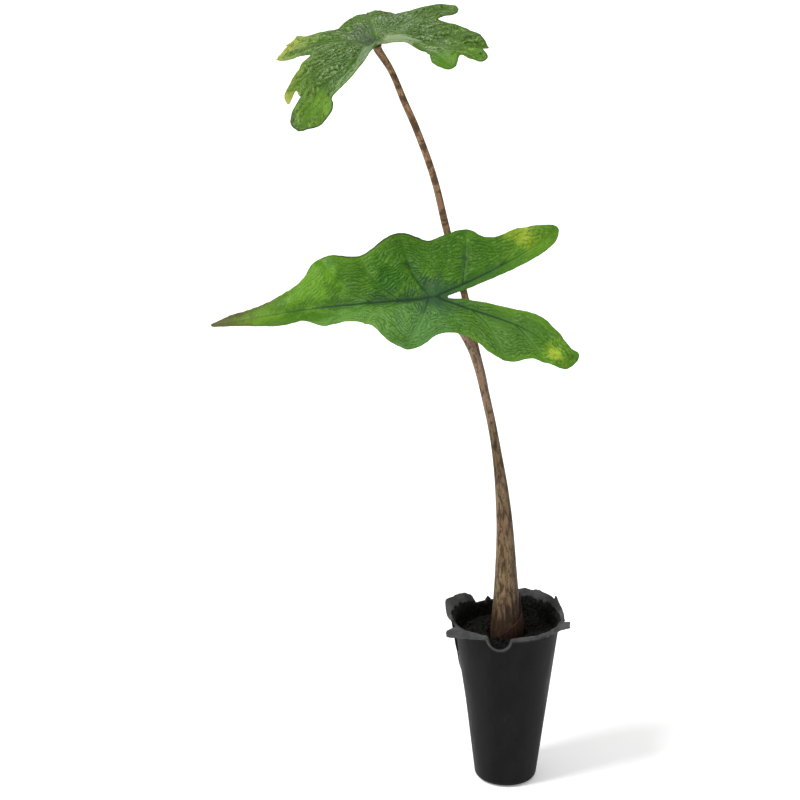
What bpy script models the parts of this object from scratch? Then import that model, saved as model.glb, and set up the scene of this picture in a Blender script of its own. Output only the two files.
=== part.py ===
"""A potted alocasia: one young plant with two leaves, standing in a small torn nursery pot.

Units are metres, +Z is up, +X is to the right of the front view and +Y is to the back. The origin is the
centre of the pot's underside, which stands on the ground. Leaf outlines and ribs are drawn flat, in
millimetres from the point where the stalk meets the leaf: u runs to the leaf's tip and v to its left.
"""

import math

import bmesh
import bpy
import numpy as np
from mathutils import Matrix, Vector
from mathutils.geometry import delaunay_2d_cdt

MM = 0.001
GAP = 0.3 * MM

# Pot
POT_HEIGHT = 83.0 * MM
RIM_RADIUS = 25.4 * MM
FOOT_RADIUS = 15.5 * MM
FOOT_ROUND = 3.0 * MM
POT_WALL = 1.0 * MM
POT_STEPS = 90
WALL_RINGS = (0.50, 0.72, 0.88)
FLANGE_RINGS = 2
# The torn flange, going round from the right: angle in degrees, reach and rise in millimetres. Its front
# left corner is still square, the others are torn and bent up, and bare lip is left between them.
FLANGE = (
    (0, 0.5, 0.0), (6, 0.6, 0.0), (10, 3.0, 1.8), (20, 3.3, 3.4), (40, 3.8, 5.4), (56, 3.4, 6.2),
    (72, 3.0, 6.0), (84, 2.6, 5.4), (89, 0.5, 0.0), (126, 0.5, 0.0), (130, 2.5, 4.4), (138, 3.4, 6.4),
    (146, 4.0, 7.2), (153, 5.0, 6.2), (161, 6.0, 6.0), (170, 4.2, 2.8), (180, 1.8, 0.8), (187, 0.5, 0.0),
    (205, 0.5, 0.0), (209, 8.8, 0.9), (219, 13.2, 1.0), (225, 9.2, 0.8), (232, 5.4, 0.5), (240, 2.5, 0.3),
    (252, 0.5, 0.0), (275, 0.6, 0.4), (300, 1.4, 1.1), (318, 2.1, 1.7), (329, 3.2, 2.2), (335, 7.6, 2.1),
    (345, 6.6, 2.6), (349, 0.5, 0.0), (360, 0.5, 0.0),
)
# The wall bulges at the left, where the pot was squeezed: angle, half width, reach and lowest height.
BULGE_ANGLE = 184
BULGE_HALF_WIDTH = 42
BULGE = 1.2 * MM
BULGE_FOOT = 36.0 * MM
NOTCH_RADIUS = 6.0 * MM
NOTCH_ANGLE = 261.5
NOTCH_DEPTH = 5.3 * MM
DRAIN_RADIUS = 2.0 * MM
DRAIN_CIRCLE = 8.5 * MM
DRAINS = 4

# Potting mix
MIX_LEVEL = 77.0 * MM
MIX_STEPS = 48
MIX_RINGS = 6
MIX_RELIEF = 1.1
HOLE_RADIUS = 9.9 * MM
HOLE_CENTRE = -0.4 * MM
HOLE_FLOOR = 36.0 * MM
# Bark chips in the mix: how many, their longest side and where they lie, in millimetres
CHIPS = 16
CHIP_LENGTH = (2.6, 4.6)
CHIP_RING = (13.0, 20.0)
CHIP_SEED = 5
CHIP_SINK = 0.04

# Corm, foot of the plant and the scale leaf round it
CORM_RADIUS = 8.0 * MM
CORM_TOP = 58.0 * MM
FOOT_OF_STALKS = CORM_TOP + GAP
SCALE_LEAF_WALL = 0.8 * MM
SCALE_LEAF_FOOT = 60.0
SCALE_LEAF_STEPS = 28
SCALE_LEAF_ROWS = 6
# Its top slants: middle height, half of the slant and the teeth torn in it, in millimetres
SCALE_LEAF_TOP = 82.5
SCALE_LEAF_SLANT = 6.5
SCALE_LEAF_TEETH = 0.8

# Blades. All but the two thicknesses are in millimetres.
LAMINA = 0.65 * MM
RIB = 1.4 * MM
GRID_STEP = 4.6
OUTLINE_STEPS = 3
RIB_STEP = 3.6
RIB_SINK = 0.55
RIB_HALF_WIDTH = 2.6
RIB_FADE = 60.0
SEAT_FLAT = 5.0

# Upper leaf's stalk: centre line and radius in millimetres, from its foot to the blade.
UPPER_STATIONS = 44
UPPER_STALK = (
    (-0.2, 0.0, 50.0, 4.4),
    (-0.5, 0.0, 76.4, 4.3),
    (-0.9, 0.5, 93.7, 3.5),
    (-1.4, 1.2, 114.5, 2.7),
    (-2.0, 2.0, 129.8, 2.2),
    (-3.8, 3.0, 150.0, 1.8),
    (-6.6, 4.0, 170.0, 1.7),
    (-9.3, 4.8, 184.9, 1.7),
    (-11.4, 5.2, 194.8, 1.7),
    (-13.2, 5.6, 204.6, 1.7),
    (-17.0, 6.4, 220.0, 1.7),
    (-22.5, 8.0, 245.7, 1.7),
    (-31.1, 9.8, 276.6, 1.75),
    (-36.9, 11.0, 300.1, 1.65),
    (-45.2, 11.8, 323.3, 1.65),
    (-51.3, 12.2, 337.1, 1.6),
    (-56.8, 13.2, 350.0, 1.5),
)
# Lower leaf's stalk from where it leaves the upper one: centre line and radius in millimetres.
LOWER_STALK = (
    (-14.2, -0.6, 206.4, 2.1),
    (-17.2, -3.0, 216.9, 2.05),
    (-19.6, -5.2, 223.5, 2.0),
    (-23.8, -8.5, 232.0, 2.0),
    (-30.0, -11.4, 241.5, 2.0),
    (-34.8, -13.6, 245.8, 2.0),
)
# Each stalk ends square to its blade: depth below the blade's upper face, and radius.
STALK_ENDS = ((5.5, 1.9), (2.0, 2.2))
# The sheath at the foot of the lower stalk: height, outer radius at the sides, depth of its front wall
# and half of the angle that it wraps. It closes to a round stalk between the last two heights below.
SHEATH = (
    (58.3, 8.2, 3.4, 168),
    (77.0, 8.2, 3.5, 166),
    (93.7, 6.65, 2.9, 160),
    (114.5, 5.15, 2.3, 150),
    (129.8, 4.2, 2.2, 138),
    (150.0, 3.2, 2.6, 118),
    (170.0, 2.9, 3.4, 100),
    (186.0, 2.7, 4.1, 90),
)
SHEATH_ROUNDS_FROM = 138.0
SHEATH_ENDS = 186.0
SHEATH_EDGE = 0.7
SHEATH_SIDES = 11
SHEATH_STATIONS = 17
STALK_TURN = 2.1

# Lower leaf: where its stalk meets it, the way its midrib points, and how far each direction from that
# point lifts off the leaf's plane (degrees) and droops (degrees for each millimetre).
LOWER_SEAT = (-36.97, -20.0, 252.04)
LOWER_POSE = (180.0, -3.0, -49.0)
LOWER_FORM = (
    (-150, 0, 0.10),
    (-80, 0, 0.12),
    (-24, 2, 0.10),
    (0, 0, 0.10),
    (24, 18, 0.12),
    (80, 18, 0.20),
    (150, 2, 0.12),
    (180, 0, 0.10),
)
LOWER_SWELLS = (
    (14, -30, 1.6, 9),
    (2, -28, -1.2, 8),
    (-16, -31, 1.4, 8),
    (-28, -28, -1.2, 9),
    (50, -20, 1.3, 9),
    (-50, -30, 1.5, 11),
    (16, 28, 1.4, 8),
    (-4, 19, -1.0, 8),
    (-26, 30, 1.2, 9),
    (-52, 33, 1.4, 10),
    (60, 8, -1.0, 9),
)
LOWER_OUTLINE = (
    (105, 3.5), (88, 0.5), (76, -4.5), (62, -12.5), (55.5, -21), (48, -24), (38, -23), (30, -25.5),
    (22, -32), (15, -35), (8, -32.5), (2, -30.5), (-6, -32.5), (-16, -35), (-23, -31.5), (-30, -31),
    (-39, -34.5), (-50, -36), (-58.5, -34), (-56, -24.5), (-46, -17.5), (-30, -9.5), (-15, -3.5),
    (-6, 0.5), (-15, 3.5), (-31, 8), (-46, 12.5), (-56, 20), (-62, 29), (-63, 35), (-57, 39.5),
    (-49, 36.5), (-42, 34), (-34, 36), (-25, 33), (-17, 25.5), (-9, 21), (-1, 22.5), (7, 29.5),
    (15, 31.5), (23, 27), (31, 18), (40, 17), (48, 17.5), (55, 16), (61, 10.5), (70, 12.5), (80, 11),
    (91, 7.5),
)
LOWER_RIBS = (
    ((-2, 0), (30, 0.5), (62, 1), (90, 2.8), (104, 3.5)),
    ((3, -1), (10, -14), (15, -33)),
    ((17, 0), (28, -10), (34, -23)),
    ((30, 0), (41, -6), (48, -15), (52, -22)),
    ((-2, -1), (-14, -6.5), (-31, -15), (-50, -26), (-57, -32)),
    ((-13, -6.5), (-15, -20), (-16, -34)),
    ((-31, -15), (-38, -24), (-44, -34)),
    ((3, 1), (7, 14), (14, 30)),
    ((17, 1), (28, 9), (33, 17)),
    ((30, 1), (42, 8), (51, 16)),
    ((-2, 1), (-16, 7), (-38, 16.7), (-50, 26), (-59, 36)),
    ((-16, 7), (-24, 17), (-30, 34)),
    ((-36, 16), (-42, 24), (-48, 36)),
)

# Upper leaf, in the same terms
UPPER_SEAT = (-63.98, 12.0, 364.11)
UPPER_POSE = (103.0, 29.0, -18.0)
UPPER_FORM = (
    (-160, 4, 0.30),
    (-135, 10, 0.45),
    (-90, 4, 0.50),
    (-60, 0, 0.50),
    (-40, 0, 0.75),
    (-22, 0, 1.00),
    (0, 0, 0.75),
    (22, 0, 0.95),
    (45, 0, 0.68),
    (62, 0, 0.55),
    (90, 3, 0.50),
    (135, 6, 0.45),
    (160, 4, 0.30),
    (180, 4, 0.30),
)
UPPER_SWELLS = (
    (-7, -11, 3.2, 9),
    (34, 35, 2.6, 16),
    (51, 43, 7.0, 9),
    (-18, 30, 1.2, 10),
    (-4, 30, -1.2, 8),
    (-22, -36, 1.2, 9),
    (-8, -34, -1.0, 8),
    (18, -28, 1.0, 8),
    (50, -18, 1.4, 9),
    (50, 18, 1.4, 9),
    (66, 0, 1.2, 9),
)
UPPER_OUTLINE = (
    (-2, 0), (-4, -4.5), (-8, -10), (-14, -15), (-20, -19), (-27, -22), (-33, -26), (-32.5, -31),
    (-26.5, -34.5), (-29, -38), (-31.5, -43), (-27, -46.5), (-22, -45.5), (-21, -49), (-15, -48.5),
    (-7, -44.5), (-1, -39.5), (4, -33), (8, -29.5), (13, -34), (19, -41.5), (25, -41), (26, -33),
    (25, -24), (28, -16), (36, -18), (46, -26), (53, -27), (54, -20), (50, -11), (57, -9), (66, -12),
    (71, -9), (76, -3.5), (88, 0), (76, 3.5), (71, 9), (66, 13), (57, 10), (50, 12), (54, 21),
    (53, 28), (46, 28), (36, 22), (30, 19), (33, 27), (39, 36), (51, 42), (49, 46.5), (41, 45),
    (37, 50), (28, 49.5), (19, 44.5), (13, 35.5), (9, 31), (4, 36), (-1, 42), (-7, 46.5), (-14, 48.5),
    (-17, 46.5), (-14, 43), (-17, 39.5), (-21, 42.5), (-25, 47), (-31, 49), (-37, 45.5), (-39.5, 39),
    (-38, 31), (-33, 27), (-27, 27), (-23, 21.5), (-17, 14.5), (-11, 9), (-5, 4),
)
UPPER_RIBS = (
    ((-1, 0), (30, 0), (60, 0), (86, 0)),
    ((5, -2), (13, -18), (19, -32), (23, -39)),
    ((27, -1), (40, -14), (51, -25)),
    ((46, -0.5), (58, -5), (68, -10.5)),
    ((5, 2), (16, 20), (27, 36), (35, 48)),
    ((27, 37), (38, 39.5), (49, 44)),
    ((27, 1), (40, 15), (51, 26)),
    ((46, 0.5), (58, 5), (68, 11)),
    ((-1, -1), (-8, -14), (-14, -28), (-18, -40), (-18, -47.5)),
    ((-8, -14), (-20, -22.5), (-31, -28)),
    ((-14, -28), (-22, -37), (-28, -44)),
    ((-12, -24), (-7, -34), (-6, -43)),
    ((-1, 1), (-8, 13), (-15, 25), (-25, 36), (-34, 46)),
    ((-15, 25), (-26, 31), (-37, 36)),
    ((-15, 25), (-13, 34), (-15.5, 46)),
    ((-7, 11), (-3, 24), (-4, 42)),
)

# Colours as linear red, green and blue, then roughness
COLOURS = {
    "pot": ((0.028, 0.029, 0.028), 0.55),
    "potting_mix": ((0.012, 0.010, 0.008), 0.95),
    "corm": ((0.16, 0.08, 0.04), 0.80),
    "basal_sheath": ((0.10, 0.035, 0.022), 0.60),
    "lower_leaf_petiole": ((0.21, 0.16, 0.085), 0.50),
    "upper_leaf_petiole": ((0.22, 0.11, 0.055), 0.50),
    "lower_leaf_blade": ((0.075, 0.22, 0.025), 0.45),
    "upper_leaf_blade": ((0.085, 0.20, 0.035), 0.50),
}


def clear_scene():
    """Start from nothing."""
    for item in list(bpy.data.objects):
        bpy.data.objects.remove(item, do_unlink=True)


def new_collection(name):
    made = bpy.data.collections.new(name)
    bpy.context.scene.collection.children.link(made)
    return made


def material(name):
    colour, roughness = COLOURS[name]
    made = bpy.data.materials.new(name)
    made.use_nodes = True
    shader = made.node_tree.nodes["Principled BSDF"]
    shader.inputs["Base Color"].default_value = (*colour, 1.0)
    shader.inputs["Roughness"].default_value = roughness
    shader.inputs["Metallic"].default_value = 0.0
    made.diffuse_color = (*colour, 1.0)
    return made


def mesh_object(name, mesh):
    """A named sub-part with its own material, in the collection of parts."""
    item = bpy.data.objects.new(name, mesh)
    PARTS.objects.link(item)
    mesh.materials.clear()
    mesh.materials.append(material(name))
    mesh.shade_smooth()
    return item


def evaluated_mesh(item):
    """The mesh of an object with its modifiers carried out. The object is removed."""
    bpy.context.view_layer.update()
    ready = item.evaluated_get(bpy.context.evaluated_depsgraph_get())
    mesh = bpy.data.meshes.new_from_object(ready)
    bpy.data.objects.remove(item, do_unlink=True)
    return mesh


def mesh_from_bmesh(bm, name):
    mesh = bpy.data.meshes.new(name)
    bm.to_mesh(mesh)
    bm.free()
    return mesh


def turned(profile, steps, name):
    """The surface that a profile of (radius, height) sweeps round the Z axis, outer side down the list."""
    mesh = bpy.data.meshes.new(name)
    edges = [(i, i + 1) for i in range(len(profile) - 1)]
    mesh.from_pydata([(r, 0.0, z) for r, z in profile], edges, [])
    item = bpy.data.objects.new(name, mesh)
    PARTS.objects.link(item)
    screw = item.modifiers.new("turn", "SCREW")
    screw.axis = "Z"
    screw.steps = steps
    screw.render_steps = steps
    screw.use_merge_vertices = True
    screw.merge_threshold = 0.00001
    screw.use_smooth_shade = True
    return evaluated_mesh(item)


def cutter(name, mesh):
    item = bpy.data.objects.new(name, mesh)
    CUTTERS.objects.link(item)
    item.hide_render = True
    item.display_type = "WIRE"
    return item


def cylinder_mesh(name, radius, start, end, sides):
    """A closed cylinder between two points."""
    along = Vector(end) - Vector(start)
    turn = along.to_track_quat("Z", "Y").to_matrix().to_4x4()
    place = Matrix.Translation((Vector(start) + Vector(end)) / 2) @ turn
    bm = bmesh.new()
    bmesh.ops.create_cone(
        bm, cap_ends=True, segments=sides, radius1=radius, radius2=radius, depth=along.length, matrix=place
    )
    return mesh_from_bmesh(bm, name)


def cut(item, tool, operation="DIFFERENCE"):
    boolean = item.modifiers.new(tool.name, "BOOLEAN")
    boolean.operation = operation
    boolean.solver = "EXACT"
    boolean.object = tool


def smooth_run(points, steps):
    """An open smooth curve through points of any width: steps samples for each stretch."""
    p = np.array(points, float)
    p = np.vstack([2 * p[0] - p[1], p, 2 * p[-1] - p[-2]])
    out = []
    for i in range(1, len(p) - 2):
        for k in range(steps):
            out.append(between(p[i - 1], p[i], p[i + 1], p[i + 2], k / steps))
    out.append(p[-2])
    return np.array(out)


def smooth_ring(points, steps):
    """A closed smooth curve through points."""
    p = np.array(points, float)
    n = len(p)
    return np.array(
        [
            between(p[i - 1], p[i], p[(i + 1) % n], p[(i + 2) % n], k / steps)
            for i in range(n)
            for k in range(steps)
        ]
    )


def between(a, b, c, d, t):
    """A point at t from b to c on the smooth curve through a, b, c and d."""
    bend = 2 * a - 5 * b + 4 * c - d
    twist = 3 * b - a - 3 * c + d
    return 0.5 * (2 * b + (c - a) * t + bend * t * t + twist * t**3)


def spline_of(table):
    """A function of the first column that gives the others, smooth and without overshoot."""
    rows = np.array(sorted(table), float)
    x, v = rows[:, 0], rows[:, 1:]
    step = np.diff(x)[:, None]
    slope = np.diff(v, axis=0) / step
    tangent = np.zeros_like(v)
    same_way = slope[:-1] * slope[1:] > 0
    both = slope[:-1] + slope[1:]
    mean = 2 * slope[:-1] * slope[1:] / np.where(same_way, both, 1.0)
    tangent[1:-1] = np.where(same_way, mean, 0.0)
    tangent[0] = slope[0]
    tangent[-1] = slope[-1]

    def value(at):
        at = np.asarray(at, float)
        i = np.clip(np.searchsorted(x, at) - 1, 0, len(x) - 2)
        h = (x[i + 1] - x[i])[..., None]
        t = ((at - x[i]) / (x[i + 1] - x[i]))[..., None]
        near = (1 + 2 * t) * (1 - t) ** 2 * v[i] + t * (1 - t) ** 2 * h * tangent[i]
        far = t * t * (3 - 2 * t) * v[i + 1] + t * t * (t - 1) * h * tangent[i + 1]
        return near + far

    return value


def ease(t):
    t = min(max(t, 0.0), 1.0)
    return t * t * (3 - 2 * t)


# Pot


def wall_radius(z):
    """Outer radius of the pot's straight wall at a height."""
    return FOOT_RADIUS + (RIM_RADIUS - FOOT_RADIUS) * (z - FOOT_ROUND) / (POT_HEIGHT - FOOT_ROUND)


def bulge(angle, z):
    """How far the wall stands out at an angle in degrees and a height."""
    off = abs((angle - BULGE_ANGLE + 180) % 360 - 180) / BULGE_HALF_WIDTH
    return BULGE * ease(1 - off) * ease((z - BULGE_FOOT) / (POT_HEIGHT - BULGE_FOOT))


def shape_pot(mesh):
    """Bulge the wall, and pull the flat flange of unit width out to its torn corners."""
    angles, reaches, rises = np.array(FLANGE, float).T
    for vertex in mesh.vertices:
        x, y, z = vertex.co
        radius = math.hypot(x, y)
        if radius < MM:
            continue
        degrees = math.degrees(math.atan2(y, x)) % 360
        share = max(radius - RIM_RADIUS, 0.0) / MM
        if share > 0.01:
            radius = RIM_RADIUS + share * MM * np.interp(degrees, angles, reaches)
            z += share * (1.6 - 0.6 * share) * MM * np.interp(degrees, angles, rises)
        radius += bulge(degrees, min(z, POT_HEIGHT))
        vertex.co = (radius * x / math.hypot(x, y), radius * y / math.hypot(x, y), z)


def make_pot():
    flange = [(RIM_RADIUS + MM * k / FLANGE_RINGS, POT_HEIGHT) for k in range(FLANGE_RINGS, 0, -1)]
    wall = [(RIM_RADIUS, POT_HEIGHT)]
    for share in reversed(WALL_RINGS):
        z = FOOT_ROUND + share * (POT_HEIGHT - FOOT_ROUND)
        wall.append((wall_radius(z), z))
    foot = []
    for k in range(4):
        turn = math.radians(30 * k)
        out = FOOT_RADIUS - FOOT_ROUND * (1 - math.cos(turn))
        foot.append((out, FOOT_ROUND * (1 - math.sin(turn))))
    profile = flange + wall + foot + [(0.0, 0.0)]
    mesh = turned(profile, POT_STEPS, "pot")
    shape_pot(mesh)
    pot = mesh_object("pot", mesh)
    shell = pot.modifiers.new("wall", "SOLIDIFY")
    shell.thickness = POT_WALL
    shell.offset = -1.0
    shell.use_even_offset = True
    aim = Vector((math.cos(math.radians(NOTCH_ANGLE)), math.sin(math.radians(NOTCH_ANGLE)), 0.0))
    height = Vector((0.0, 0.0, POT_HEIGHT - NOTCH_DEPTH + NOTCH_RADIUS))
    start, end = height + 0.7 * RIM_RADIUS * aim, height + 1.5 * RIM_RADIUS * aim
    cut(pot, cutter("rim_notch", cylinder_mesh("rim_notch", NOTCH_RADIUS, start, end, 24)))
    for k in range(DRAINS):
        turn = math.radians(45 + 360 * k / DRAINS)
        x, y = DRAIN_CIRCLE * math.cos(turn), DRAIN_CIRCLE * math.sin(turn)
        name = f"drain_{k + 1}"
        tool = cylinder_mesh(name, DRAIN_RADIUS, (x, y, -2 * POT_WALL), (x, y, 3 * POT_WALL), 12)
        cut(pot, cutter(name, tool))


# Potting mix


def mix_surface(x, y):
    """Height of the mix above its level, in metres: low crumbly waves that die out at the pot's wall."""
    u, v = x / MM, y / MM
    wave = math.sin(0.61 * u + 0.9) * math.sin(0.53 * v + 0.4) + 0.6 * math.sin(0.97 * u - 0.71 * v + 2.0)
    grain = 0.5 * math.sin(1.9 * u + 1.3 * v) * math.sin(1.7 * v - 0.8 * u + 1.0)
    return MIX_RELIEF * MM * 0.6 * (wave + grain)


def make_potting_mix():
    clear = POT_WALL + GAP
    top_radius = wall_radius(MIX_LEVEL) - clear
    lid = [(top_radius * k / MIX_RINGS, MIX_LEVEL) for k in range(MIX_RINGS + 1)]
    side = [(wall_radius(FOOT_ROUND) - clear, FOOT_ROUND + clear)]
    floor = [(FOOT_RADIUS - FOOT_ROUND, clear), (0.0, clear)]
    mesh = turned(lid + side + floor, MIX_STEPS, "potting_mix")
    for vertex in mesh.vertices:
        x, y, z = vertex.co
        if z > MIX_LEVEL - 0.1 * MM:
            near_wall = (top_radius - math.hypot(x, y)) / top_radius
            vertex.co.z = z + mix_surface(x, y) * min(4 * near_wall, 1.0)
    mix = mesh_object("potting_mix", mesh)
    floor_point, above = (HOLE_CENTRE, 0, HOLE_FLOOR), (HOLE_CENTRE, 0, MIX_LEVEL + 10 * MM)
    cut(mix, cutter("plant_hole", cylinder_mesh("plant_hole", HOLE_RADIUS, floor_point, above, 28)))
    chips = make_chips()
    join = mix.modifiers.new("chips", "BOOLEAN")
    join.operation = "UNION"
    join.solver = "EXACT"
    join.operand_type = "COLLECTION"
    join.collection = chips
    baked = evaluated_mesh(mix)
    for chip in list(chips.objects):
        bpy.data.objects.remove(chip, do_unlink=True)
    bpy.data.collections.remove(chips)
    mesh_object("potting_mix", baked)


def make_chips():
    """Bark chips that lie half sunk in the mix at random, clear of the plant and the wall."""
    rng = np.random.default_rng(CHIP_SEED)
    chips = new_collection("chips")
    for k in range(CHIPS):
        turn = 2 * math.pi * (k + rng.uniform(-0.3, 0.3)) / CHIPS
        out = rng.uniform(*CHIP_RING) * MM
        x, y = out * math.cos(turn), out * math.sin(turn)
        length = rng.uniform(*CHIP_LENGTH) * MM
        size = Matrix.Diagonal((length, 0.45 * length, 0.3 * length, 1.0))
        heading = Matrix.Rotation(rng.uniform(0, math.pi), 4, "Z")
        tilt = Matrix.Rotation(rng.uniform(-0.5, 0.5), 4, "Y")
        place = Matrix.Translation((x, y, MIX_LEVEL + mix_surface(x, y) - CHIP_SINK * length))
        bm = bmesh.new()
        bmesh.ops.create_cube(bm, size=1.0, matrix=place @ heading @ tilt @ size)
        chips.objects.link(bpy.data.objects.new(f"chip_{k}", mesh_from_bmesh(bm, f"chip_{k}")))
    return chips


# Stalks


def upper_stalk_path():
    """Centre and radius of the upper stalk as a function of height, in millimetres."""
    return spline_of([(z, x, y, r) for x, y, z, r in UPPER_STALK])


def stalk_end(seat, pose):
    """The last points of a stalk, straight below the point where it meets its blade."""
    up = leaf_axes(pose)[2]
    return [(*(np.array(seat) - up * depth), radius) for depth, radius in STALK_ENDS]


def make_upper_stalk():
    top = UPPER_STALK[-2][2]
    heights = np.linspace(FOOT_OF_STALKS / MM, top, UPPER_STATIONS)
    path = upper_stalk_path()
    run = [(*path(z)[:2], z, path(z)[2]) for z in heights[:-1]]
    run += list(smooth_run([*UPPER_STALK[-2:], *stalk_end(UPPER_SEAT, UPPER_POSE)], 4))
    curve = bpy.data.curves.new("upper_leaf_petiole", "CURVE")
    curve.dimensions = "3D"
    curve.bevel_depth = MM
    curve.bevel_resolution = 4
    curve.use_fill_caps = True
    line = curve.splines.new("POLY")
    line.points.add(len(run) - 1)
    for point, (x, y, z, radius) in zip(line.points, run):
        point.co = (x * MM, y * MM, z * MM, 1.0)
        point.radius = radius
    item = bpy.data.objects.new("upper_leaf_petiole", curve)
    PARTS.objects.link(item)
    curve.materials.append(material("upper_leaf_petiole"))


def frame_along(tangent):
    """Two directions across a path: one to the right and one to the back."""
    t = tangent / np.linalg.norm(tangent)
    back = np.array([0.0, 1.0, 0.0])
    right = np.cross(back, t)
    right /= np.linalg.norm(right)
    return right, np.cross(t, right)


def sheath_ring(inner, outer, front, half):
    """A C-shaped section round the upper stalk, open to the back, as (right, back) from its centre."""
    n = SHEATH_SIDES
    ring = []
    for angle in np.radians(np.linspace(-half, half, n)):
        share = abs(angle) / math.radians(half)
        wall = outer + (inner + front - outer) * math.cos(angle / 2) ** 4
        edge = inner + SHEATH_EDGE
        radius = edge + (wall - edge) * (1 - share**4)
        ring.append((radius * math.sin(angle), -radius * math.cos(angle)))
    for angle in np.radians(np.linspace(half, -half, n)):
        ring.append((inner * math.sin(angle), -inner * math.cos(angle)))
    return np.array(ring)


def round_ring(radius):
    """A round section whose points go round as those of sheath_ring do."""
    n = SHEATH_SIDES
    outer = np.radians((np.arange(n) + 0.5) * 180 / n - 90)
    turns = np.concatenate([outer, outer + math.pi])
    return np.stack([radius * np.sin(turns), -radius * np.cos(turns)], axis=1)


def make_lower_stalk():
    """The sheathing foot opens from a C round the upper stalk into a round stalk of its own."""
    upper = upper_stalk_path()
    sheath = spline_of(SHEATH)
    rings, centres = [], []
    for z in np.linspace(FOOT_OF_STALKS / MM, SHEATH_ENDS, SHEATH_STATIONS):
        x, y, core = upper(z)
        outer, front, half = sheath(z)
        inner = core + GAP / MM
        wrap = sheath_ring(inner, outer, front, half)
        plain = round_ring(STALK_TURN) - np.array([0.0, inner + STALK_TURN])
        t = ease((z - SHEATH_ROUNDS_FROM) / (SHEATH_ENDS - SHEATH_ROUNDS_FROM))
        rings.append(wrap * (1 - t) + plain * t)
        centres.append(np.array([x, y, z]))
    leaves_at = centres[-1] - np.array([0.0, upper(SHEATH_ENDS)[2] + GAP / MM + STALK_TURN, 0.0])
    ends = stalk_end(LOWER_SEAT, LOWER_POSE)
    free = smooth_run([(*leaves_at, STALK_TURN), *LOWER_STALK, *ends], 3)[1:]
    rings += [round_ring(radius) for radius in free[:, 3]]
    route = np.vstack([np.array(centres), free[:, :3]])
    tangents = np.gradient(np.vstack([np.array(centres)[:-1], leaves_at, free[:, :3]]), axis=0)
    tangents[: SHEATH_STATIONS - 2] = np.gradient(np.array(centres), axis=0)[: SHEATH_STATIONS - 2]
    tangents[-1] = leaf_axes(LOWER_POSE)[2]
    bm = bmesh.new()
    loops = []
    for centre, tangent, ring in zip(route, tangents, rings):
        right, back = frame_along(tangent)
        loops.append([bm.verts.new((centre + right * a + back * b) * MM) for a, b in ring])
    count = len(rings[0])
    for low, high in zip(loops[:-1], loops[1:]):
        for k in range(count):
            after = (k + 1) % count
            bm.faces.new((low[k], low[after], high[after], high[k]))
    bm.faces.new(list(reversed(loops[0])))
    bm.faces.new(loops[-1])
    bmesh.ops.recalc_face_normals(bm, faces=bm.faces)
    mesh_object("lower_leaf_petiole", mesh_from_bmesh(bm, "lower_leaf_petiole"))


def make_scale_leaf():
    """The dried scale leaf, a thin sleeve round the plant's foot. Its top slants up to the right."""
    upper, sheath = upper_stalk_path(), spline_of(SHEATH)
    bm = bmesh.new()
    columns = []
    for k in range(SCALE_LEAF_STEPS):
        turn = 2 * math.pi * k / SCALE_LEAF_STEPS
        teeth = SCALE_LEAF_TEETH * math.sin(5 * turn)
        top = SCALE_LEAF_TOP + SCALE_LEAF_SLANT * math.cos(turn - 0.2) + teeth
        facing = math.cos((turn + math.pi / 2) / 2) ** 4
        column = []
        for z in np.linspace(SCALE_LEAF_FOOT, top, SCALE_LEAF_ROWS + 1):
            x, y, core = upper(z)
            outer, front, _ = sheath(z)
            radius = outer + (core + GAP / MM + front - outer) * facing + 1.2 * GAP / MM
            place = Vector((x + radius * math.cos(turn), y + radius * math.sin(turn), z))
            column.append(bm.verts.new(place * MM))
        columns.append(column)
    for here, there in zip(columns, columns[1:] + columns[:1]):
        for row in range(SCALE_LEAF_ROWS):
            bm.faces.new((here[row], there[row], there[row + 1], here[row + 1]))
    item = mesh_object("basal_sheath", mesh_from_bmesh(bm, "basal_sheath"))
    shell = item.modifiers.new("wall", "SOLIDIFY")
    shell.thickness = SCALE_LEAF_WALL
    shell.offset = 1.0


def make_corm():
    """The buried stem: a blunt knob that the stalks grow from."""
    bottom = HOLE_FLOOR + GAP
    profile = [(0.0, CORM_TOP)]
    for width, height in ((0.86, 1.0), (1.0, 0.86), (0.98, 0.6), (0.8, 0.25), (0.5, 0.04), (0.3, 0.0)):
        profile.append((CORM_RADIUS * width, bottom + (CORM_TOP - bottom) * height))
    profile.append((0.0, bottom))
    mesh_object("corm", turned(profile, 24, "corm"))


# Blades


def leaf_axes(pose):
    """Directions of the midrib, of the leaf's left and of its upper face."""
    heading, pitch, roll = np.radians(pose)
    ahead = np.array([math.cos(heading), math.sin(heading), 0.0])
    u = ahead * math.cos(pitch) + np.array([0.0, 0.0, math.sin(pitch)])
    level = np.array([-math.sin(heading), math.cos(heading), 0.0])
    v = level * math.cos(roll) + np.cross(u, level) * math.sin(roll)
    return u, v, np.cross(u, v)


def bend_leaf(flat, pose, form, swells):
    """Points of the flat leaf laid on its drooping surface, from its seat. A ray from there is an arc."""
    u_axis, v_axis, up = leaf_axes(pose)
    rays = spline_of([(a + turn, lift, droop) for turn in (-360, 0, 360) for a, lift, droop in form])
    reach = np.hypot(flat[:, 0], flat[:, 1])
    angle = np.arctan2(flat[:, 1], flat[:, 0])
    lift, droop = np.radians(rays(np.degrees(angle))).T
    end = lift - droop * reach
    across = (np.sin(lift) - np.sin(end)) / droop
    rise = (np.cos(end) - np.cos(lift)) / droop
    for u, v, height, width in swells:
        rise = rise + height * np.exp(-((flat[:, 0] - u) ** 2 + (flat[:, 1] - v) ** 2) / width**2)
    ray = np.cos(angle)[:, None] * u_axis + np.sin(angle)[:, None] * v_axis
    return across[:, None] * ray + rise[:, None] * up


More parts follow.
